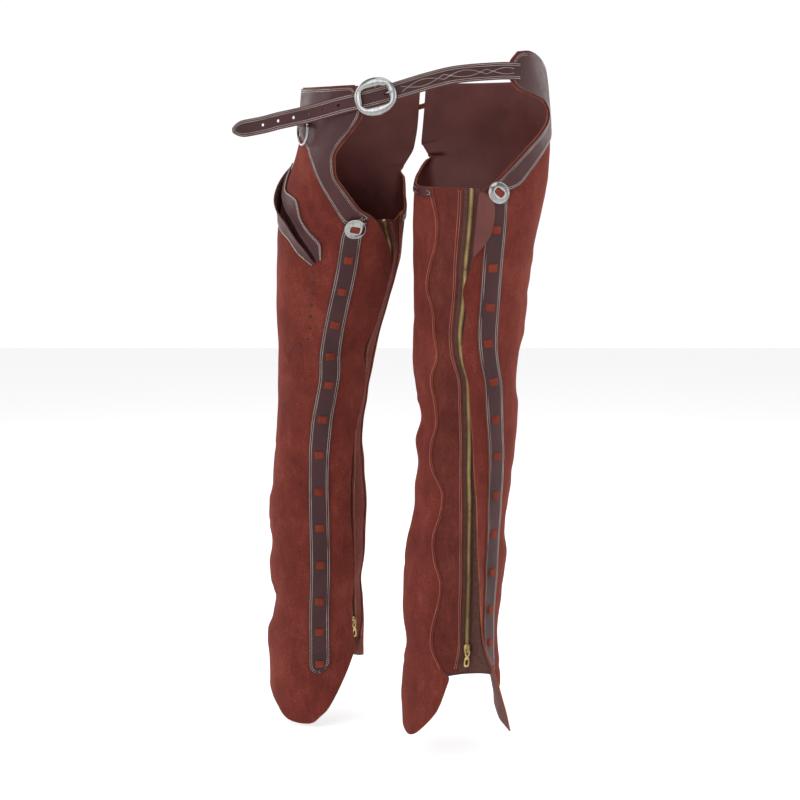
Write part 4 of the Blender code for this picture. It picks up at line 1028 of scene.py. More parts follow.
SUEDE_SET = (SUEDE_FACE, SUEDE_BACK, SUEDE_EDGE)
ROUGH_SET = (SUEDE_ROUGH, SUEDE_BACK, SUEDE_EDGE)
YOKE_SET = (YOKE_HIDE, HIDE_BACK, HIDE_EDGE)
STRAP_SET = (STRAP_HIDE, HIDE_BACK, STRAP_EDGE)


def worn(piece, slot, *nodes, body="chaps"):
    """Ride on a body and stand for the nodes; slot is not used."""
    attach(piece, body)
    if nodes:
        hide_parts(*nodes)
    return piece


def ring_faces(count, size, closed=False, first=0):
    """Faces between rings of points, which are joined end to end or capped."""
    faces = []
    for k in range(count if closed else count - 1):
        here, after = first + k * size, first + (k + 1) % count * size
        for m in range(size):
            onward = (m + 1) % size
            faces.append((here + m, here + onward, after + onward, after + m))
    if not closed:
        last = first + (count - 1) * size
        faces += [tuple(range(first, first + size))[::-1], tuple(range(last, last + size))]
    return faces


def loft(name, rings, finish, closed=True):
    """A body through rings of points."""
    faces = ring_faces(len(rings), len(rings[0]), closed)
    made = object_from(name, np.array(rings).reshape(-1, 3), faces, [finish])
    outward_faces(made)
    return made


def rod(name, path, radius, finish, closed, sides=14):
    """A round wire along a path."""
    path = np.array(path, dtype=float)
    count = len(path)
    rings, side = [], None
    for k, point in enumerate(path):
        after = path[(k + 1) % count] if closed or k < count - 1 else point
        before = path[k - 1] if closed or k > 0 else point
        along = unit(after - before)
        if side is None:
            side = np.cross(along, (0.31, 0.17, 0.93))
        side = unit(side - along * (side @ along))
        other = np.cross(along, side)
        thick = radius[k] if hasattr(radius, "__len__") else radius
        rings.append([point + thick * (cos(t) * side + sin(t) * other)
                      for t in np.arange(sides) * 2 * pi / sides])
    return loft(name, rings, finish, closed)


def smooth_path(points, count, closed=False):
    """A denser path on a smooth curve through some points."""
    points = np.array(points, dtype=float)
    if closed:
        points = np.vstack([points, points[:1]])
    run = run_of(points)
    table = [(s, *p) for s, p in zip(run, points)]
    at = np.linspace(0, run[-1], count + 1)[:-1] if closed else np.linspace(0, run[-1], count)
    return np.array([curve(table, s) for s in at])


def square_bumps(side, rows, columns):
    """Leather raised in a small arc below each lace square, in millimetres."""
    surface = SURFACES[side]
    total = np.zeros(np.shape(rows))
    middle = surface.at(rows, columns)[0][..., 2]
    across = (columns - COL["strip"]) * STRIP_WIDTH / 2
    for z in SQUARES[side]:
        drop = z - SQUARE[1] / 2 - 2.4 - middle + 0.025 * across ** 2
        total = total + 1.3 * np.exp(-(drop / 1.4) ** 2) * np.exp(-(across / 5.5) ** 4)
    return total


def tab_cells(side):
    """Cells of the tab behind the right hip."""
    return block(range(TAB_ROWS), span("tab0", "flap")) if side == "right" else []


def leg_panels(side):
    """Main panel and back strip of one leg, with their rose stitching."""
    surface = SURFACES[side]
    cells = tab_cells(side) + block(range(HIP_ROWS), span("flap", "front"))
    cells += block(range(HIP_ROWS, ROWS), span("flap", "scallop"))
    panel, _ = sheet_over(f"suede_panel_{side}", surface, cells, -SUEDE, 0.0, SUEDE_SET)
    worn(panel, "suede", f"main_panel_{side}")
    cells = block(range(HIP_ROWS, HIP_ROWS + LEG_ROWS), span("lap", "zip_edge"))
    low = -SUEDE - PLY_GAP
    strip, _ = sheet_over(f"suede_back_{side}", surface, cells, low - SUEDE, low, ROUGH_SET)
    worn(strip, "suede", f"back_strip_{side}")
    rows = np.arange(HIP_ROWS + 0.3, HIP_ROWS + LEG_ROWS - 0.1, 0.08)
    seam, out = surface.at(rows, COL["scallop"] - 3.4 / SCALLOP_LAP)
    paths = [(seam, out, False)]
    for inset in (2.4, 5.4):
        edge, up = surface.at(rows, COL["zip_edge"] - inset / 7, low)
        paths.append((edge, up, False))
    stitches = sewn(f"rose_stitches_{side}", paths, ROSE)
    worn(stitches, "suede")


def leg_zip(side):
    """Tape, teeth and cords of one zip."""
    surface = SURFACES[side]
    rows = np.arange(HIP_ROWS, HIP_ROWS + LEG_ROWS + 0.01, 0.125)
    at = [surface.at(rows, COL[name], ZIP_DEEP)[0] for name in ("under", "zip_edge", "teeth", "tape_side")]
    at.append(surface.at(rows, COL["margin"], -SUEDE - TAPE_THICK)[0])
    shares = [0, 0.5, 1, 1.5, 2, 2.5, 3, 3.25, 3.5, 3.75, 4]
    grid = np.stack([at[int(s)] * (1 - s % 1) + at[min(int(s) + 1, 4)] * (s % 1) for s in shares], 1)
    down, across = np.gradient(grid, axis=0), np.gradient(grid, axis=1)
    tape, _ = strip_grid(f"zip_tape_cloth_{side}", grid, unit(SIDES[side] * np.cross(across, down)),
                         -TAPE_THICK, 0.0, (TAPE,) * 3, bevel=0.0)
    worn(tape, "zip_tape", f"zip_tape_{side}")
    path, out = surface.at(rows[:-8], COL["teeth"], ZIP_DEEP)
    points, along, up = resampled(path, out, TEETH_PITCH / 2, False)
    profile = [(-2.9, 0.42), (-2.3, 0.58), (-0.4, 0.6), (0.6, 0.52), (1.05, 0.32)]
    template = []
    for x, half in profile:
        template += [(half, x, -0.1), (half, x, 1.5), (half * 0.7, x, 1.95), (-half * 0.7, x, 1.95),
                     (-half, x, 1.5), (-half, x, -0.1)]
    flip = np.where(np.arange(len(points)) % 2 == 0, 1.0, -1.0)[:, None]
    axes = np.stack([along, np.cross(up, along) * flip, up], 1)
    faces = ring_faces(len(profile), 6)
    teeth = stamped(f"zip_teeth_{side}", (points, axes), np.array(template), faces, BRASS)
    outward_faces(teeth)
    worn(teeth, "brass")
    for number, off in enumerate((-3.6 / 9, 3.6 / 7.5)):
        cord, _ = surface.at(rows[:-6], COL["teeth"] + off, ZIP_DEEP + 0.5)
        worn(rod(f"zip_cord_{side}_{number}", cord, 0.55, TAPE, False, sides=6), "zip_tape")


def at_spot(side, row, column):
    """Point, outward, upward and sideways directions on a leg."""
    surface = SURFACES[side]
    (here, above, below), (out, _, _) = surface.at(np.array([row, row - 0.3, row + 0.3]), column)
    up = above - below
    up = unit(up - out * (up @ out))
    return here, out, up, np.cross(up, out)


def slider(side):
    """Slider body, its bridge and the pull that hangs from it."""
    here, out, up, across = at_spot(side, HIP_ROWS + LEG_ROWS - 1.0, COL["teeth"])
    base = ZIP_DEEP + 1.4

    def at(x, v, n):
        return here + across * x + up * v + out * (base + n)

    outline = [(-7.2, 3.2), (-6.4, 3.8), (-3, 4.7), (1, 5.1), (4.4, 5.4), (6.6, 4.9), (7.4, 3.6)]
    section = [(-1, -0.9), (1, -0.9), (1.04, 0.8), (1, 2.3), (0.84, 3.1), (0.4, 3.35), (-0.4, 3.35),
               (-0.84, 3.1), (-1, 2.3), (-1.04, 0.8)]
    rings = [[at(x * w, v, n) for x, n in section] for v, w in outline]
    body = loft(f"slider_{side}", rings, BRASS, closed=False)
    body.modifiers.new("rounded", "BEVEL").width = 0.0004
    worn(body, "brass", f"slider_body_{side}")
    top = 3.9
    half_arch = [(5.6, top - 0.6), (5.2, top + 2.4), (3.2, top + 4.1)]
    other_half = [(-v, n) for v, n in reversed(half_arch)]
    arch = smooth_path(half_arch + [(0, top + 4.5)] + other_half, 26)
    bridge = rod(f"slider_arch_{side}", [at(0, v, n) for v, n in arch], 0.85, BRASS, False, sides=10)
    worn(bridge, "brass", f"slider_bridge_{side}")
    lift = top + 0.85
    plate = outline_plate(f"pull_{side}", lambda x, v, n: at(x, v - 1.0, lift + n))
    worn(plate, "brass", f"zip_pull_{side}", body=f"pull_{side}")


def outline_plate(name, at):
    """Zip pull: a tapered plate with a slot for the bridge and a slot near its end."""
    def slot(half_x, low, high):
        return [(half_x * cos(t), (high if sin(t) > 0 else low) + 0.6 * half_x * sin(t))
                for t in (np.arange(16) + 0.5) * 2 * pi / 16]

    def edge(low, high, half_low, half_high, corner):
        turns = (np.arange(16) + 0.5) * 2 * pi / 16
        places = []
        for t in turns:
            x, v = cos(t), sin(t)
            big = max(abs(x), abs(v)) ** corner
            share = (v / big + 1) / 2
            half = half_low + (half_high - half_low) * share
            places.append((half * x / big, low + (high - low) * share))
        return places

    upper = (edge(-9.6, 0.9, 3.9, 4.5, 0.8), slot(1.9, -6.4, -1.6))
    lower = (edge(-25.2, -9.6, 4.6, 3.9, 0.8), slot(2.0, -20.8, -15.4))
    vertices, faces = [], []
    for outer, inner in (upper, lower):
        first = len(vertices)
        for n in (0.7, -0.7):
            vertices += [at(x, v, n) for x, v in outer + inner]
        for k in range(16):
            a, b = k, (k + 1) % 16
            faces.append((first + a, first + b, first + 16 + b, first + 16 + a))
            faces.append((first + 32 + b, first + 32 + a, first + 48 + a, first + 48 + b))
            faces.append((first + a, first + 32 + a, first + 32 + b, first + b))
            faces.append((first + 16 + b, first + 48 + b, first + 48 + a, first + 16 + a))
    made = object_from(name, vertices, faces, [BRASS], bevel=0.25)
    outward_faces(made)
    return made


def trims(side):
    """Yoke, crotch trim and laced strip of one leg, with their stitching."""
    surface = SURFACES[side]
    cells = tab_cells(side) + block(range(YOKE_ROWS), span("flap", "front"))
    cells += block(range(YOKE_ROWS, HIP_ROWS), span("flap", "strip_out"))
    yoke, rims = sheet_over(f"leather_yoke_{side}", surface, cells, TRIM_BASE, TRIM_TOP, YOKE_SET, inset=2.1)
    worn(yoke, "leather", f"yoke_{side}")
    paths = [(*set_in(rim, inset), True) for rim in rims for inset in (2.6, 5.0)]
    cells = block(range(YOKE_ROWS, HIP_ROWS), span("front_in", "front"))
    cells += block([HIP_ROWS], span("front_in", "scallop"))
    trim, rims = sheet_over(f"crotch_leather_{side}", surface, cells, TRIM_BASE, TRIM_TOP, YOKE_SET,
                            inset=0.6)
    worn(trim, "leather", f"crotch_trim_{side}")
    paths += [(*set_in(rim, 2.6), True) for rim in rims]
    foot, tip = STRIP_FOOT_ROW - 0.22, 0.26
    rows = rounded_run(HIP_ROWS, foot, tip, 0.11, 9)
    rounding = np.clip((rows - (foot - tip)) / tip, 0, 1)
    wide = np.sqrt(np.maximum(1 - rounding ** 2, 0.02))
    shares = np.array([-1, -0.94, -0.8, -0.6, -0.3, 0, 0.3, 0.6, 0.8, 0.94, 1])
    columns = COL["strip"] + wide[:, None] * shares[None, :]
    row_grid = np.repeat(rows[:, None], len(shares), 1)
    crown = 0.35 * (1 - shares ** 4)[None, :]
    points, out = surface.at(row_grid, columns, crown + square_bumps(side, row_grid, columns))
    strip, rim = strip_grid(f"laced_strip_{side}", points, out, TRIM_BASE, TRIM_TOP, STRAP_SET, bevel=0.45)
    worn(strip, "leather", f"lace_strip_{side}")
    paths += [(*set_in(rim, inset), True) for inset in (1.7, 4.6)]
    worn(sewn(f"ivory_stitches_{side}", paths, IVORY), "leather")


def lace_squares(side):
    """Suede lace that comes up through the strip and goes down again."""
    surface = SURFACES[side]
    half_square = [(-6.9, -1.4, 4.6), (-6.5, 0.3, 5.2), (-5.6, 1.2, 5.5), (-2.5, 1.6, 5.6)]
    other_half = [(-x, height, half) for x, height, half in reversed(half_square)]
    rings = half_square + [(0, 1.7, 5.6)] + other_half
    section = [(-1, 1.6), (-1, 0.3), (-0.86, 0), (-0.3, -0.12), (0, 0.05), (0.3, -0.12), (0.86, 0),
               (1, 0.3), (1, 1.6)]
    vertices, faces = [], []
    for number, z in enumerate(SQUARES[side]):
        here, out, up, across = at_spot(side, surface.row_of(COL["strip"], z), COL["strip"])
        tilt = radians(4 * sin(2.3 * number + (0.8 if side == "left" else 0)))
        level = unit(cos(tilt) * across + sin(tilt) * up)
        upright = np.cross(out, level)
        faces += ring_faces(len(rings), len(section), first=len(vertices))
        for x, height, half in rings:
            vertices += [here + level * x + upright * v * half + out * (TRIM_TOP + 0.5 + height - drop)
                         for v, drop in section]
    made = object_from(f"lace_squares_{side}", vertices, faces, [LACE_FACE])
    outward_faces(made)
    worn(made, "lace", *[f"lace_{side}_{k:02d}" for k in range(1, len(SQUARES[side]) + 1)])


def concho(side):
    """Domed silver round with a turned rim and a slot, and the lace in it."""
    row = max(SURFACES[side].row_of(COL["strip"], CONCHO_HEIGHT[side]), HIP_ROWS + 0.02)
    here, out, up, across = at_spot(side, row, COL["strip"])
    base = TRIM_TOP + CONCHO_STAND[side]
    half_x, half_z = CONCHO_SLOT[0] / 2, CONCHO_SLOT[1] / 2
    section = [(0, 0.3), (0, 3.9), (0.03, 4.3), (0.12, 4.45), (0.3, 4.2), (0.5, 3.6), (0.68, 2.8),
               (0.8, 2.15), (0.87, 1.75), (0.9, 1.7), (0.94, 1.85), (0.97, 1.7), (1, 1.1), (0.985, 0.45),
               (0.93, 0.1)]
    rings = []
    for k in range(64):
        angle = 2 * pi * (k + 0.5) / 64
        c, s = cos(angle), sin(angle)
        reach = oval(angle, half_x, half_z, SLOT_POWER)
        rings.append([here + across * c * r + up * s * r + out * (base + n)
                      for r, n in ((reach + (CONCHO_RADIUS - reach) * share, n) for share, n in section)])
    worn(loft(f"concho_dome_{side}", rings, SILVER), "silver", f"concho_{side}")
    rings = []
    for share, n in ((1, -0.4), (1, 3.6), (0.93, 4.25), (0.6, 4.5), (0.2, 4.55)):
        ring = []
        for k in range(24):
            angle = 2 * pi * (k + 0.5) / 24
            c, s = cos(angle), sin(angle)
            reach = oval(angle, half_x - 0.25, half_z - 0.25, SLOT_POWER) * share
            ring.append(here + across * c * reach + up * s * reach + out * (base + n))
        rings.append(ring)
    worn(loft(f"concho_slot_lace_{side}", rings, LACE_FACE, closed=False), "lace", f"concho_lace_{side}")


def turned_flap():
    """Edge of the right flap folded back, with its smooth inner face outwards."""
    surface = SURFACES["right"]
    rows = np.linspace(TURNED_FLAP[0][0], TURNED_FLAP[-1][0], 46)
    grid = []
    for row in rows:
        reach = float(curve(TURNED_FLAP, row)[0])
        rise = min(1.0, reach / 12)
        wave = 0.8 * sin(row * 7)
        profile = [(1.5, -1.0), (-1.2, -0.9), (-2.8, 0.6), (-3.2, 2.4), (-2.2, 4.2), (0, 5.2), (0.25, 5.9),
                   (0.5, 6.1 + wave), (0.75, 5.7 + wave), (1.0, 5.2)]
        base, out = surface.at(row, COL["flap"])
        toward = unit(surface.at(row, COL["strip"])[0] - base)
        line = []
        for k, (d, n) in enumerate(profile):
            line.append(base + toward * d * (rise if k < 6 else reach) + out * (-1 + (n + 1) * rise))
        grid.append(line)
    grid = np.array(grid)
    down, along = np.gradient(grid, axis=0), np.gradient(grid, axis=1)
    finishes = (SUEDE_BACK, SUEDE_FACE, SUEDE_EDGE)
    out = -unit(np.cross(along, down))
    made, _ = strip_grid("turned_flap", grid, out, -SUEDE / 2, SUEDE / 2, finishes, bevel=0.0)
    soft = made.modifiers.new("soft", "SUBSURF")
    soft.levels = soft.render_levels = 1
    worn(made, "suede")


class Belt:
    """The belt's centre line, with a direction along it, one across and one outwards."""

    def __init__(self):
        self.points = smooth_path(BELT, 400)
        self.length = run_of(np.array(BELT, dtype=float))[-1]
        self.stations = np.linspace(0, self.length, 400)
        self.bar = float(np.interp(BUCKLE_X, self.points[:, 0], self.stations))

    def line(self, s):
        s = min(max(s, 0.0), self.length)
        return np.array([np.interp(s, self.stations, self.points[:, k]) for k in range(3)])

    def at(self, run):
        """Centre point and the three directions at a distance from the buckle's bar."""
        s = min(max(self.bar + run, 0.0), self.length)
        here, ahead, behind = (self.line(v) for v in (s, s + 3, s - 3))
        along = unit(ahead - behind)
        out = unit(np.array([-along[1], along[0], 0.0]))
        across = np.cross(along, out)
        out, across = out + BELT_LEAN * across, across - BELT_LEAN * out
        return here, along, unit(across), unit(out)

    def point(self, run, up, off):
        here, _, across, out = self.at(run)
        return here + across * up + out * off


def strap_rise(run):
    """How far the strap's middle lifts to pass over the buckle's bar."""
    return 2.6 * np.exp(-(run / 11.0) ** 2)


def half_width(run, end):
    """Half the belt's width, tapered at the billet's tip."""
    taper = max(0.0, (run - (end - 22)) / 22)
    return BELT_WIDTH / 2 * (1 - 0.74 * taper ** 2.4)


def strap(belt):
    """The belt with its punched holes, edge stitching and the stitched figure between yoke and buckle."""
    start, end = -belt.bar, belt.length - belt.bar
    runs = rounded_run(start, end, 10, 2.6, 10)
    shares = np.array([-1, -0.93, -0.8, -0.6, -0.3, 0, 0.3, 0.6, 0.8, 0.93, 1])
    points, out = [], []
    for run in runs:
        half = half_width(run, end)
        points.append([belt.point(run, share * half, strap_rise(run)) for share in shares])
        out.append([belt.at(run)[3]] * len(shares))
    points, out = np.array(points), np.array(out)
    crown = 0.45 * (1 - shares ** 4)
    made, _ = strip_grid("belt_strap", points + out * crown[None, :, None] * 0.5, out, -BELT_THICK / 2,
                         BELT_THICK / 2, STRAP_SET, bevel=0.6)
    holes = [-PRONG_UP] + [end - FIRST_HOLE - HOLE_PITCH * k for k in range(HOLE_COUNT)]
    for number, hole in enumerate(holes):
        here, along, across, up = belt.at(hole)
        rings = [[here + HOLE_RADIUS * (cos(t) * along + sin(t) * across) + up * n
                  for t in np.arange(20) * 2 * pi / 20] for n in (-5, 9)]
        punch = loft(f"punch_{number}", rings, HIDE_EDGE, closed=False)
        cut = made.modifiers.new(f"hole_{number}", "BOOLEAN")
        cut.operation, cut.solver, cut.object = "DIFFERENCE", "EXACT", punch
        bpy.context.view_layer.update()
        with bpy.context.temp_override(object=made, active_object=made):
            bpy.ops.object.modifier_apply(modifier=cut.name)
        bpy.data.objects.remove(punch)
    worn(made, "leather", "belt")
    paths = []
    for inset in (2.0, 4.6):
        runs = rounded_run(start + 3, end - inset, 9, 2.0, 10)
        both = [(run, 1) for run in runs] + [(run, -1) for run in runs[::-1]]
        path = [belt.point(run, sign * (half_width(run, end) - inset),
                           strap_rise(run) + BELT_THICK / 2 + THREAD_LIFT) for run, sign in both]
        paths.append((np.array(path), np.array([belt.at(run)[3] for run, _ in both]), False))
    worn(sewn("belt_stitches", paths, IVORY), "leather")
    figure = []
    for sign in (1, -1):
        runs = np.arange(start + 14, -38, 1.2)
        at = [belt.point(run, sign * figure_width(run - start), strap_rise(run) + BELT_THICK / 2 + 0.2)
              for run in runs]
        figure.append((np.array(at), np.array([belt.at(run)[3] for run in runs]), False))
    worn(sewn("belt_figure", figure, IVORY, pitch=2.6, thread=0.62), "leather")


def figure_width(run):
    """Half the gap between the two crossing rows of stitches along the belt."""
    lens, diamond = 44.0, 18.0
    phase = (run - 4) % (lens + diamond)
    if phase < lens:
        return 4.6 * sin(pi * phase / lens)
    return -3.6 * (1 - abs(2 * (phase - lens) / diamond - 1))


def buckle(belt):
    """Broad oval frame with a rounded rim, its bar, the prong and the chape."""
    rise = strap_rise(0) + BELT_THICK / 2
    under = rise + 0.4
    section = [(0, 0.3), (-0.01, 1.2), (0.04, 2.2), (0.16, 3.0), (0.34, 3.5), (0.55, 3.6), (0.75, 3.1),
               (0.9, 2.2), (0.99, 1.2), (1, 0.6), (0.94, 0.05), (0.5, -0.1), (0.12, -0.05)]
    rings = []
    for k in range(96):
        angle = 2 * pi * k / 96
        inner = oval(angle, *BUCKLE_WINDOW, SLOT_POWER)
        outer = oval(angle, *BUCKLE_OUTER, 2.1)
        rings.append([belt.point(cos(angle) * r, sin(angle) * r, under + n)
                      for r, n in ((inner + (outer - inner) * share, n) for share, n in section)])
    worn(loft("buckle_oval", rings, SILVER), "silver", "buckle_frame")
    bar_level = strap_rise(0) - BELT_THICK / 2 - 0.5 - 1.3
    half_bar = [(17.0, under - 1.2), (15.8, 2.4), (15.0, 0.6), (13.6, bar_level), (6, bar_level)]
    bar = half_bar + [(-up, off) for up, off in reversed(half_bar)]
    path = smooth_path([belt.point(0, up, off) for up, off in bar], 30)
    worn(rod("buckle_centre_bar", path, 1.35, SILVER, False), "silver", "buckle_bar")
    prong = [(-3.2, bar_level + 0.2), (-8, -1.7), (-11.5, -2.1), (-PRONG_UP, 0.6), (-PRONG_UP - 2.2, 4.4),
             (-19.5, 8.4), (-24, 9.6), (-28, 9.2)]
    path = smooth_path([belt.point(run, 0, off) for run, off in prong], 30)
    radii = np.interp(np.arange(30), [0, 20, 27, 29], [1.45, 1.35, 1.1, 0.5])
    worn(rod("buckle_tongue", path, radii, SILVER, False), "silver", "buckle_prong")
    stations = np.linspace(2.4, 56, 26)
    levels = np.interp(stations, [2.4, 6, 12, 20, 30, 42, 56],
                       [bar_level, bar_level - 0.3, bar_level - 0.9, -2.8, -3.0, -3.1, -3.2])
    shares = np.linspace(-9.5, 9.5, 7)
    points = np.array([[belt.point(run, up, off) for up in shares] for run, off in zip(stations, levels)])
    out = np.array([[belt.at(run)[3]] * 7 for run in stations])
    chape, _ = strip_grid("buckle_chape", points, out, -0.8, 0.8, STRAP_SET, bevel=0.3)
    worn(chape, "leather", "chape")


def d_ring():
    """Cast D-ring with its keeper loop and tab."""
    bearing, z = DRING_PLACE
    here, out = skin("left", bearing, z), outward("left", bearing, z)
    up = np.array([0.0, 0.0, 1.0])
    up = unit(up - out * (up @ out))
    across = np.cross(up, out)
    clear = TRIM_TOP + DRING_STAND

    def at(x, v, n):
        return here + across * x + up * v + out * (clear + n)

    half = DRING_WIDTH / 2
    knots = [(x, 0) for x in np.linspace(-half + 3, half - 3, 7)] + [(half - 0.9, -1.0)]
    knots += [(half * cos(t), -6 - (DRING_DROP - 6) * sin(t)) for t in np.linspace(0, pi, 25)]
    knots += [(-half + 0.9, -1.0)]
    path = smooth_path([at(x, v, 0) for x, v in knots], 110, closed=True)
    worn(rod("silver_d_ring", path, DRING_WIRE, SILVER, True, sides=16), "silver", "d_ring", body="ring")
    inner, outer = DRING_WIRE + 0.4, DRING_WIRE + 2.0
    half_loop = half - DRING_WIRE - 3.2
    rings = []
    for turn in np.linspace(pi, -pi, 40, endpoint=False):
        c, s = cos(turn), sin(turn)
        ring = [(-half_loop, inner), (-half_loop, outer - 0.3), (-half_loop + 0.3, outer)]
        ring += [(half_loop - 0.3, outer), (half_loop, outer - 0.3), (half_loop, inner)]
        rings.append([at(x, r * s, r * c) for x, r in ring])
    worn(loft("ring_keeper", rings, YOKE_HIDE), "leather", "ring_loop")
    low, high = -0.1 - DRING_STAND, LEATHER - 0.1 - DRING_STAND
    grid = np.array([[at(x, v, high) for x in np.linspace(-half_loop, half_loop, 5)]
                     for v in np.linspace(outer + 12, outer - 1.3, 8)])
    tab, _ = strip_grid("ring_keeper_tab", grid, np.broadcast_to(out, grid.shape).copy(), low - high, 0.0,
                        YOKE_SET)
    worn(tab, "leather", "ring_tab")


def on_thigh(bearing, z, off):
    """Point over the left thigh's suede and the outward direction there."""
    out = outward("left", bearing, z)
    return skin("left", bearing, z) + out * (float(relief("left", bearing, z)) + off), out


def lip(away):
    """How far a welt rises towards the slit, by its share of the way from it."""
    return 2.2 * np.exp(-(away / 0.12) ** 2)


def pocket():
    """Welts of the pocket's mouth: the back one lies flat, the front lip gapes; and a dark sheet in the
    slit, painted shade for its inside.
    """
    table = [(k, *row) for k, row in enumerate(POCKET)]
    steps = np.linspace(0, len(POCKET) - 1, 60)
    rows = [curve(table, s) for s in steps]
    shares = np.linspace(0, 1, 11)
    forms = {"pocket_back": [], "pocket_front": []}
    for back, back_z, slit, slit_z, front, front_z, gape in rows:
        near = slit - 0.5
        line = [on_thigh(back + (near - back) * s, back_z + (slit_z + 1.0 - back_z) * s, WELT_LIFT + rise)
                for s, rise in zip(shares, lip(1 - shares))]
        forms["pocket_back"].append(line)
        start, start_z = slit + 0.8, slit_z - 1.4
        line = [on_thigh(start + (front - start) * s, start_z + (front_z - start_z) * s,
                         WELT_LIFT + lip(s) + gape * (1 - s) ** 1.6)
                for s in shares]
        forms["pocket_front"].append(line)
    paths = []
    for name, lines_of in forms.items():
        points = np.array([[p for p, _ in line] for line in lines_of])
        out = np.array([[o for _, o in line] for line in lines_of])
        down, along = np.gradient(points, axis=0), np.gradient(points, axis=1)
        lean = unit(np.cross(along, down))
        lean *= np.sign((lean * out).sum(-1, keepdims=True))
        welt, _ = strip_grid(f"{name}_welt", points, lean, 0.0, LEATHER, YOKE_SET, bevel=0.5)
        worn(welt, "leather", name)
        edge, within = (0, 2) if name == "pocket_back" else (-1, -3)
        inward, up = points[:, within] - points[:, edge], lean[:, edge]
        width = np.linalg.norm(inward, axis=1, keepdims=True)
        for inset in (2.2, 4.4):
            path = points[:, edge] + inward * np.minimum(inset / width, 1.4)
            paths.append((path + up * (LEATHER + THREAD_LIFT), up, False))
    worn(sewn("pocket_stitches", paths, IVORY), "leather")
    # painted shade: a dark sheet just over the suede in the slit stands for the shade inside the pocket
    grid, out = [], []
    for _, _, slit, slit_z, *_ in rows[1:-1]:
        line = [on_thigh(slit + d, slit_z + e, 0.25) for d, e in ((-3, 3), (0, 0), (2.5, -3), (5, -6))]
        grid.append([p for p, _ in line])
        out.append([o for _, o in line])
    inside, _ = strip_grid("pocket_mouth_painted_shade", np.array(grid), np.array(out), -0.2, 0.2, (POCKET_PAINTED_SHADE,) * 3,
                           bevel=0.0)
    worn(inside, "leather")
    shape, faces = stitch_shape()
    origins, axes = [], []
    for bearing, z, tilt in LACED:
        here, out = on_thigh(bearing, z, 0.2)
        side = unit(on_thigh(bearing + 2, z, 0.2)[0] - here)
        up = np.cross(side, out)
        a = radians(tilt)
        along = cos(a) * side + sin(a) * up
        origins.append(here)
        axes.append(np.stack([along * 7.0, np.cross(out, along) * 3.2, out * 2.6], 0))
    laced = stamped("thigh_lacing", (np.array(origins), np.array(axes)), shape, faces, LACED_DARK)
    worn(laced, "lace")


def front_tie():
    """Flat lace that ties the yokes at the front."""
    far, near = COL["front_in"] + 0.2, COL["front"] - 0.1
    ends = [SURFACES[side].at(1.5, column)
            for side, column in (("left", far), ("left", near), ("right", near), ("right", far))]
    path = smooth_path([p + n * (TRIM_TOP + 0.5) for p, n in ends], 24)
    out = unit(smooth_path([n for _, n in ends], 24))
    grid = np.array([[p + np.array([0, 0, z]) for z in (-4, -2, 0, 2, 4)] for p in path])
    ups = np.repeat(out[:, None], 5, 1)
    made, _ = strip_grid("front_tie", grid, ups, 0.0, 1.8, (LACE_FACE,) * 3)
    worn(made, "lace", "front_lace")


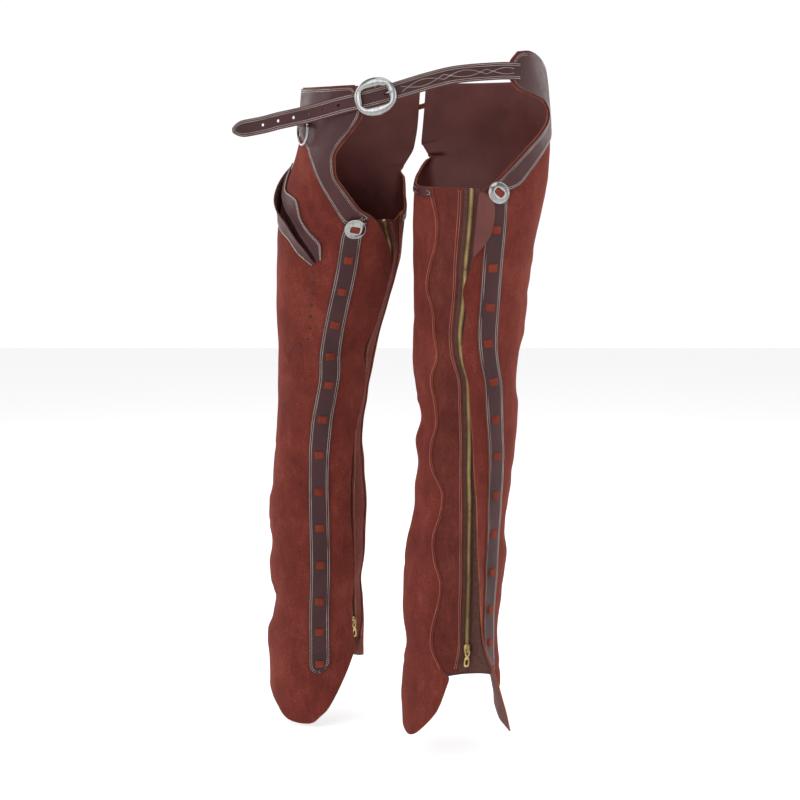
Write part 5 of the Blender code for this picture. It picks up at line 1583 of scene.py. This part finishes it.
def stage():
    """Pale floor, white surroundings, soft lights and the camera."""
    scene = bpy.context.scene
    mesh = bpy.data.meshes.new("floor")
    size = 6.0
    corners = [(x * size, y * size, FLOOR) for x, y in ((-1, -1), (1, -1), (1, 1), (-1, 1))]
    mesh.from_pydata(corners, [], [(0, 1, 2, 3)])
    floor = bpy.data.objects.new("floor", mesh)
    scene.collection.objects.link(floor)
    paint = Finish("pale_floor")
    paint.wear(Base_Color=(0.72, 0.72, 0.72, 1.0), Roughness=0.9, Emission_Color=(1.0, 1.0, 1.0, 1.0),
               Emission_Strength=0.5)
    mesh.materials.append(paint.material)
    world = bpy.data.worlds.new("studio")
    world.use_nodes = True
    nodes, links = world.node_tree.nodes, world.node_tree.links
    place, apart = nodes.new("ShaderNodeTexCoord"), nodes.new("ShaderNodeSeparateXYZ")
    tone = nodes.new("ShaderNodeMapRange")
    links.new(place.outputs["Generated"], apart.inputs[0])
    links.new(apart.outputs["Z"], tone.inputs["Value"])
    for key, value in zip((1, 2, 3, 4), (0.2, 0.75, 1.0, SHADED)):
        tone.inputs[key].default_value = value
    links.new(tone.outputs[0], nodes["Background"].inputs["Color"])
    nodes["Background"].inputs["Strength"].default_value = 1.02
    scene.view_settings.view_transform = "Standard"
    scene.world = world
    aim = Vector(CAMERA_AIM)
    for name, place, width, power in LIGHTS:
        data = bpy.data.lights.new(name, "AREA")
        data.shape, data.size, data.energy = "SQUARE", width, power
        light = bpy.data.objects.new(name, data)
        light.location = place
        light.rotation_euler = (aim - Vector(place)).to_track_quat("-Z", "Y").to_euler()
        scene.collection.objects.link(light)
    data = bpy.data.cameras.new("camera")
    data.sensor_width, data.lens = 36.0, CAMERA_LENS
    camera = bpy.data.objects.new("camera", data)
    height = radians(CAMERA_HEIGHT)
    camera.location = aim + CAMERA_AWAY * Vector((0, cos(height), sin(height)))
    camera.rotation_euler = (aim - camera.location).to_track_quat("-Z", "Y").to_euler()
    scene.collection.objects.link(camera)
    scene.camera = camera


# Camera: what it looks at and how far off, in metres, degrees above level and lens in millimetres
CAMERA_AIM = (0.036, 0.0, -0.457)
CAMERA_AWAY = 3.8
CAMERA_HEIGHT = 7.0
CAMERA_LENS = 114.0
FLOOR = -0.99              # height of the floor
SHADED = 0.35              # how bright the surroundings are overhead

# Lights: name, place, width in metres and power in watts
LIGHTS = [("key", (2.2, 3.0, 1.6), 3.0, 46), ("fill", (-2.8, 2.6, 0.8), 2.6, 20),
          ("top", (0.2, 0.6, 2.6), 2.4, 30), ("left_rim", (2.4, -1.6, 0.6), 1.9, 30),
          ("right_rim", (-2.4, -1.4, 0.7), 1.9, 35)]

stage()
SURFACES = {side: Surface(side) for side in SIDES}
for side in SIDES:
    leg_panels(side)
    leg_zip(side)
    slider(side)
    trims(side)
    lace_squares(side)
    concho(side)
turned_flap()
belt = Belt()
strap(belt)
buckle(belt)
d_ring()
pocket()
front_tie()
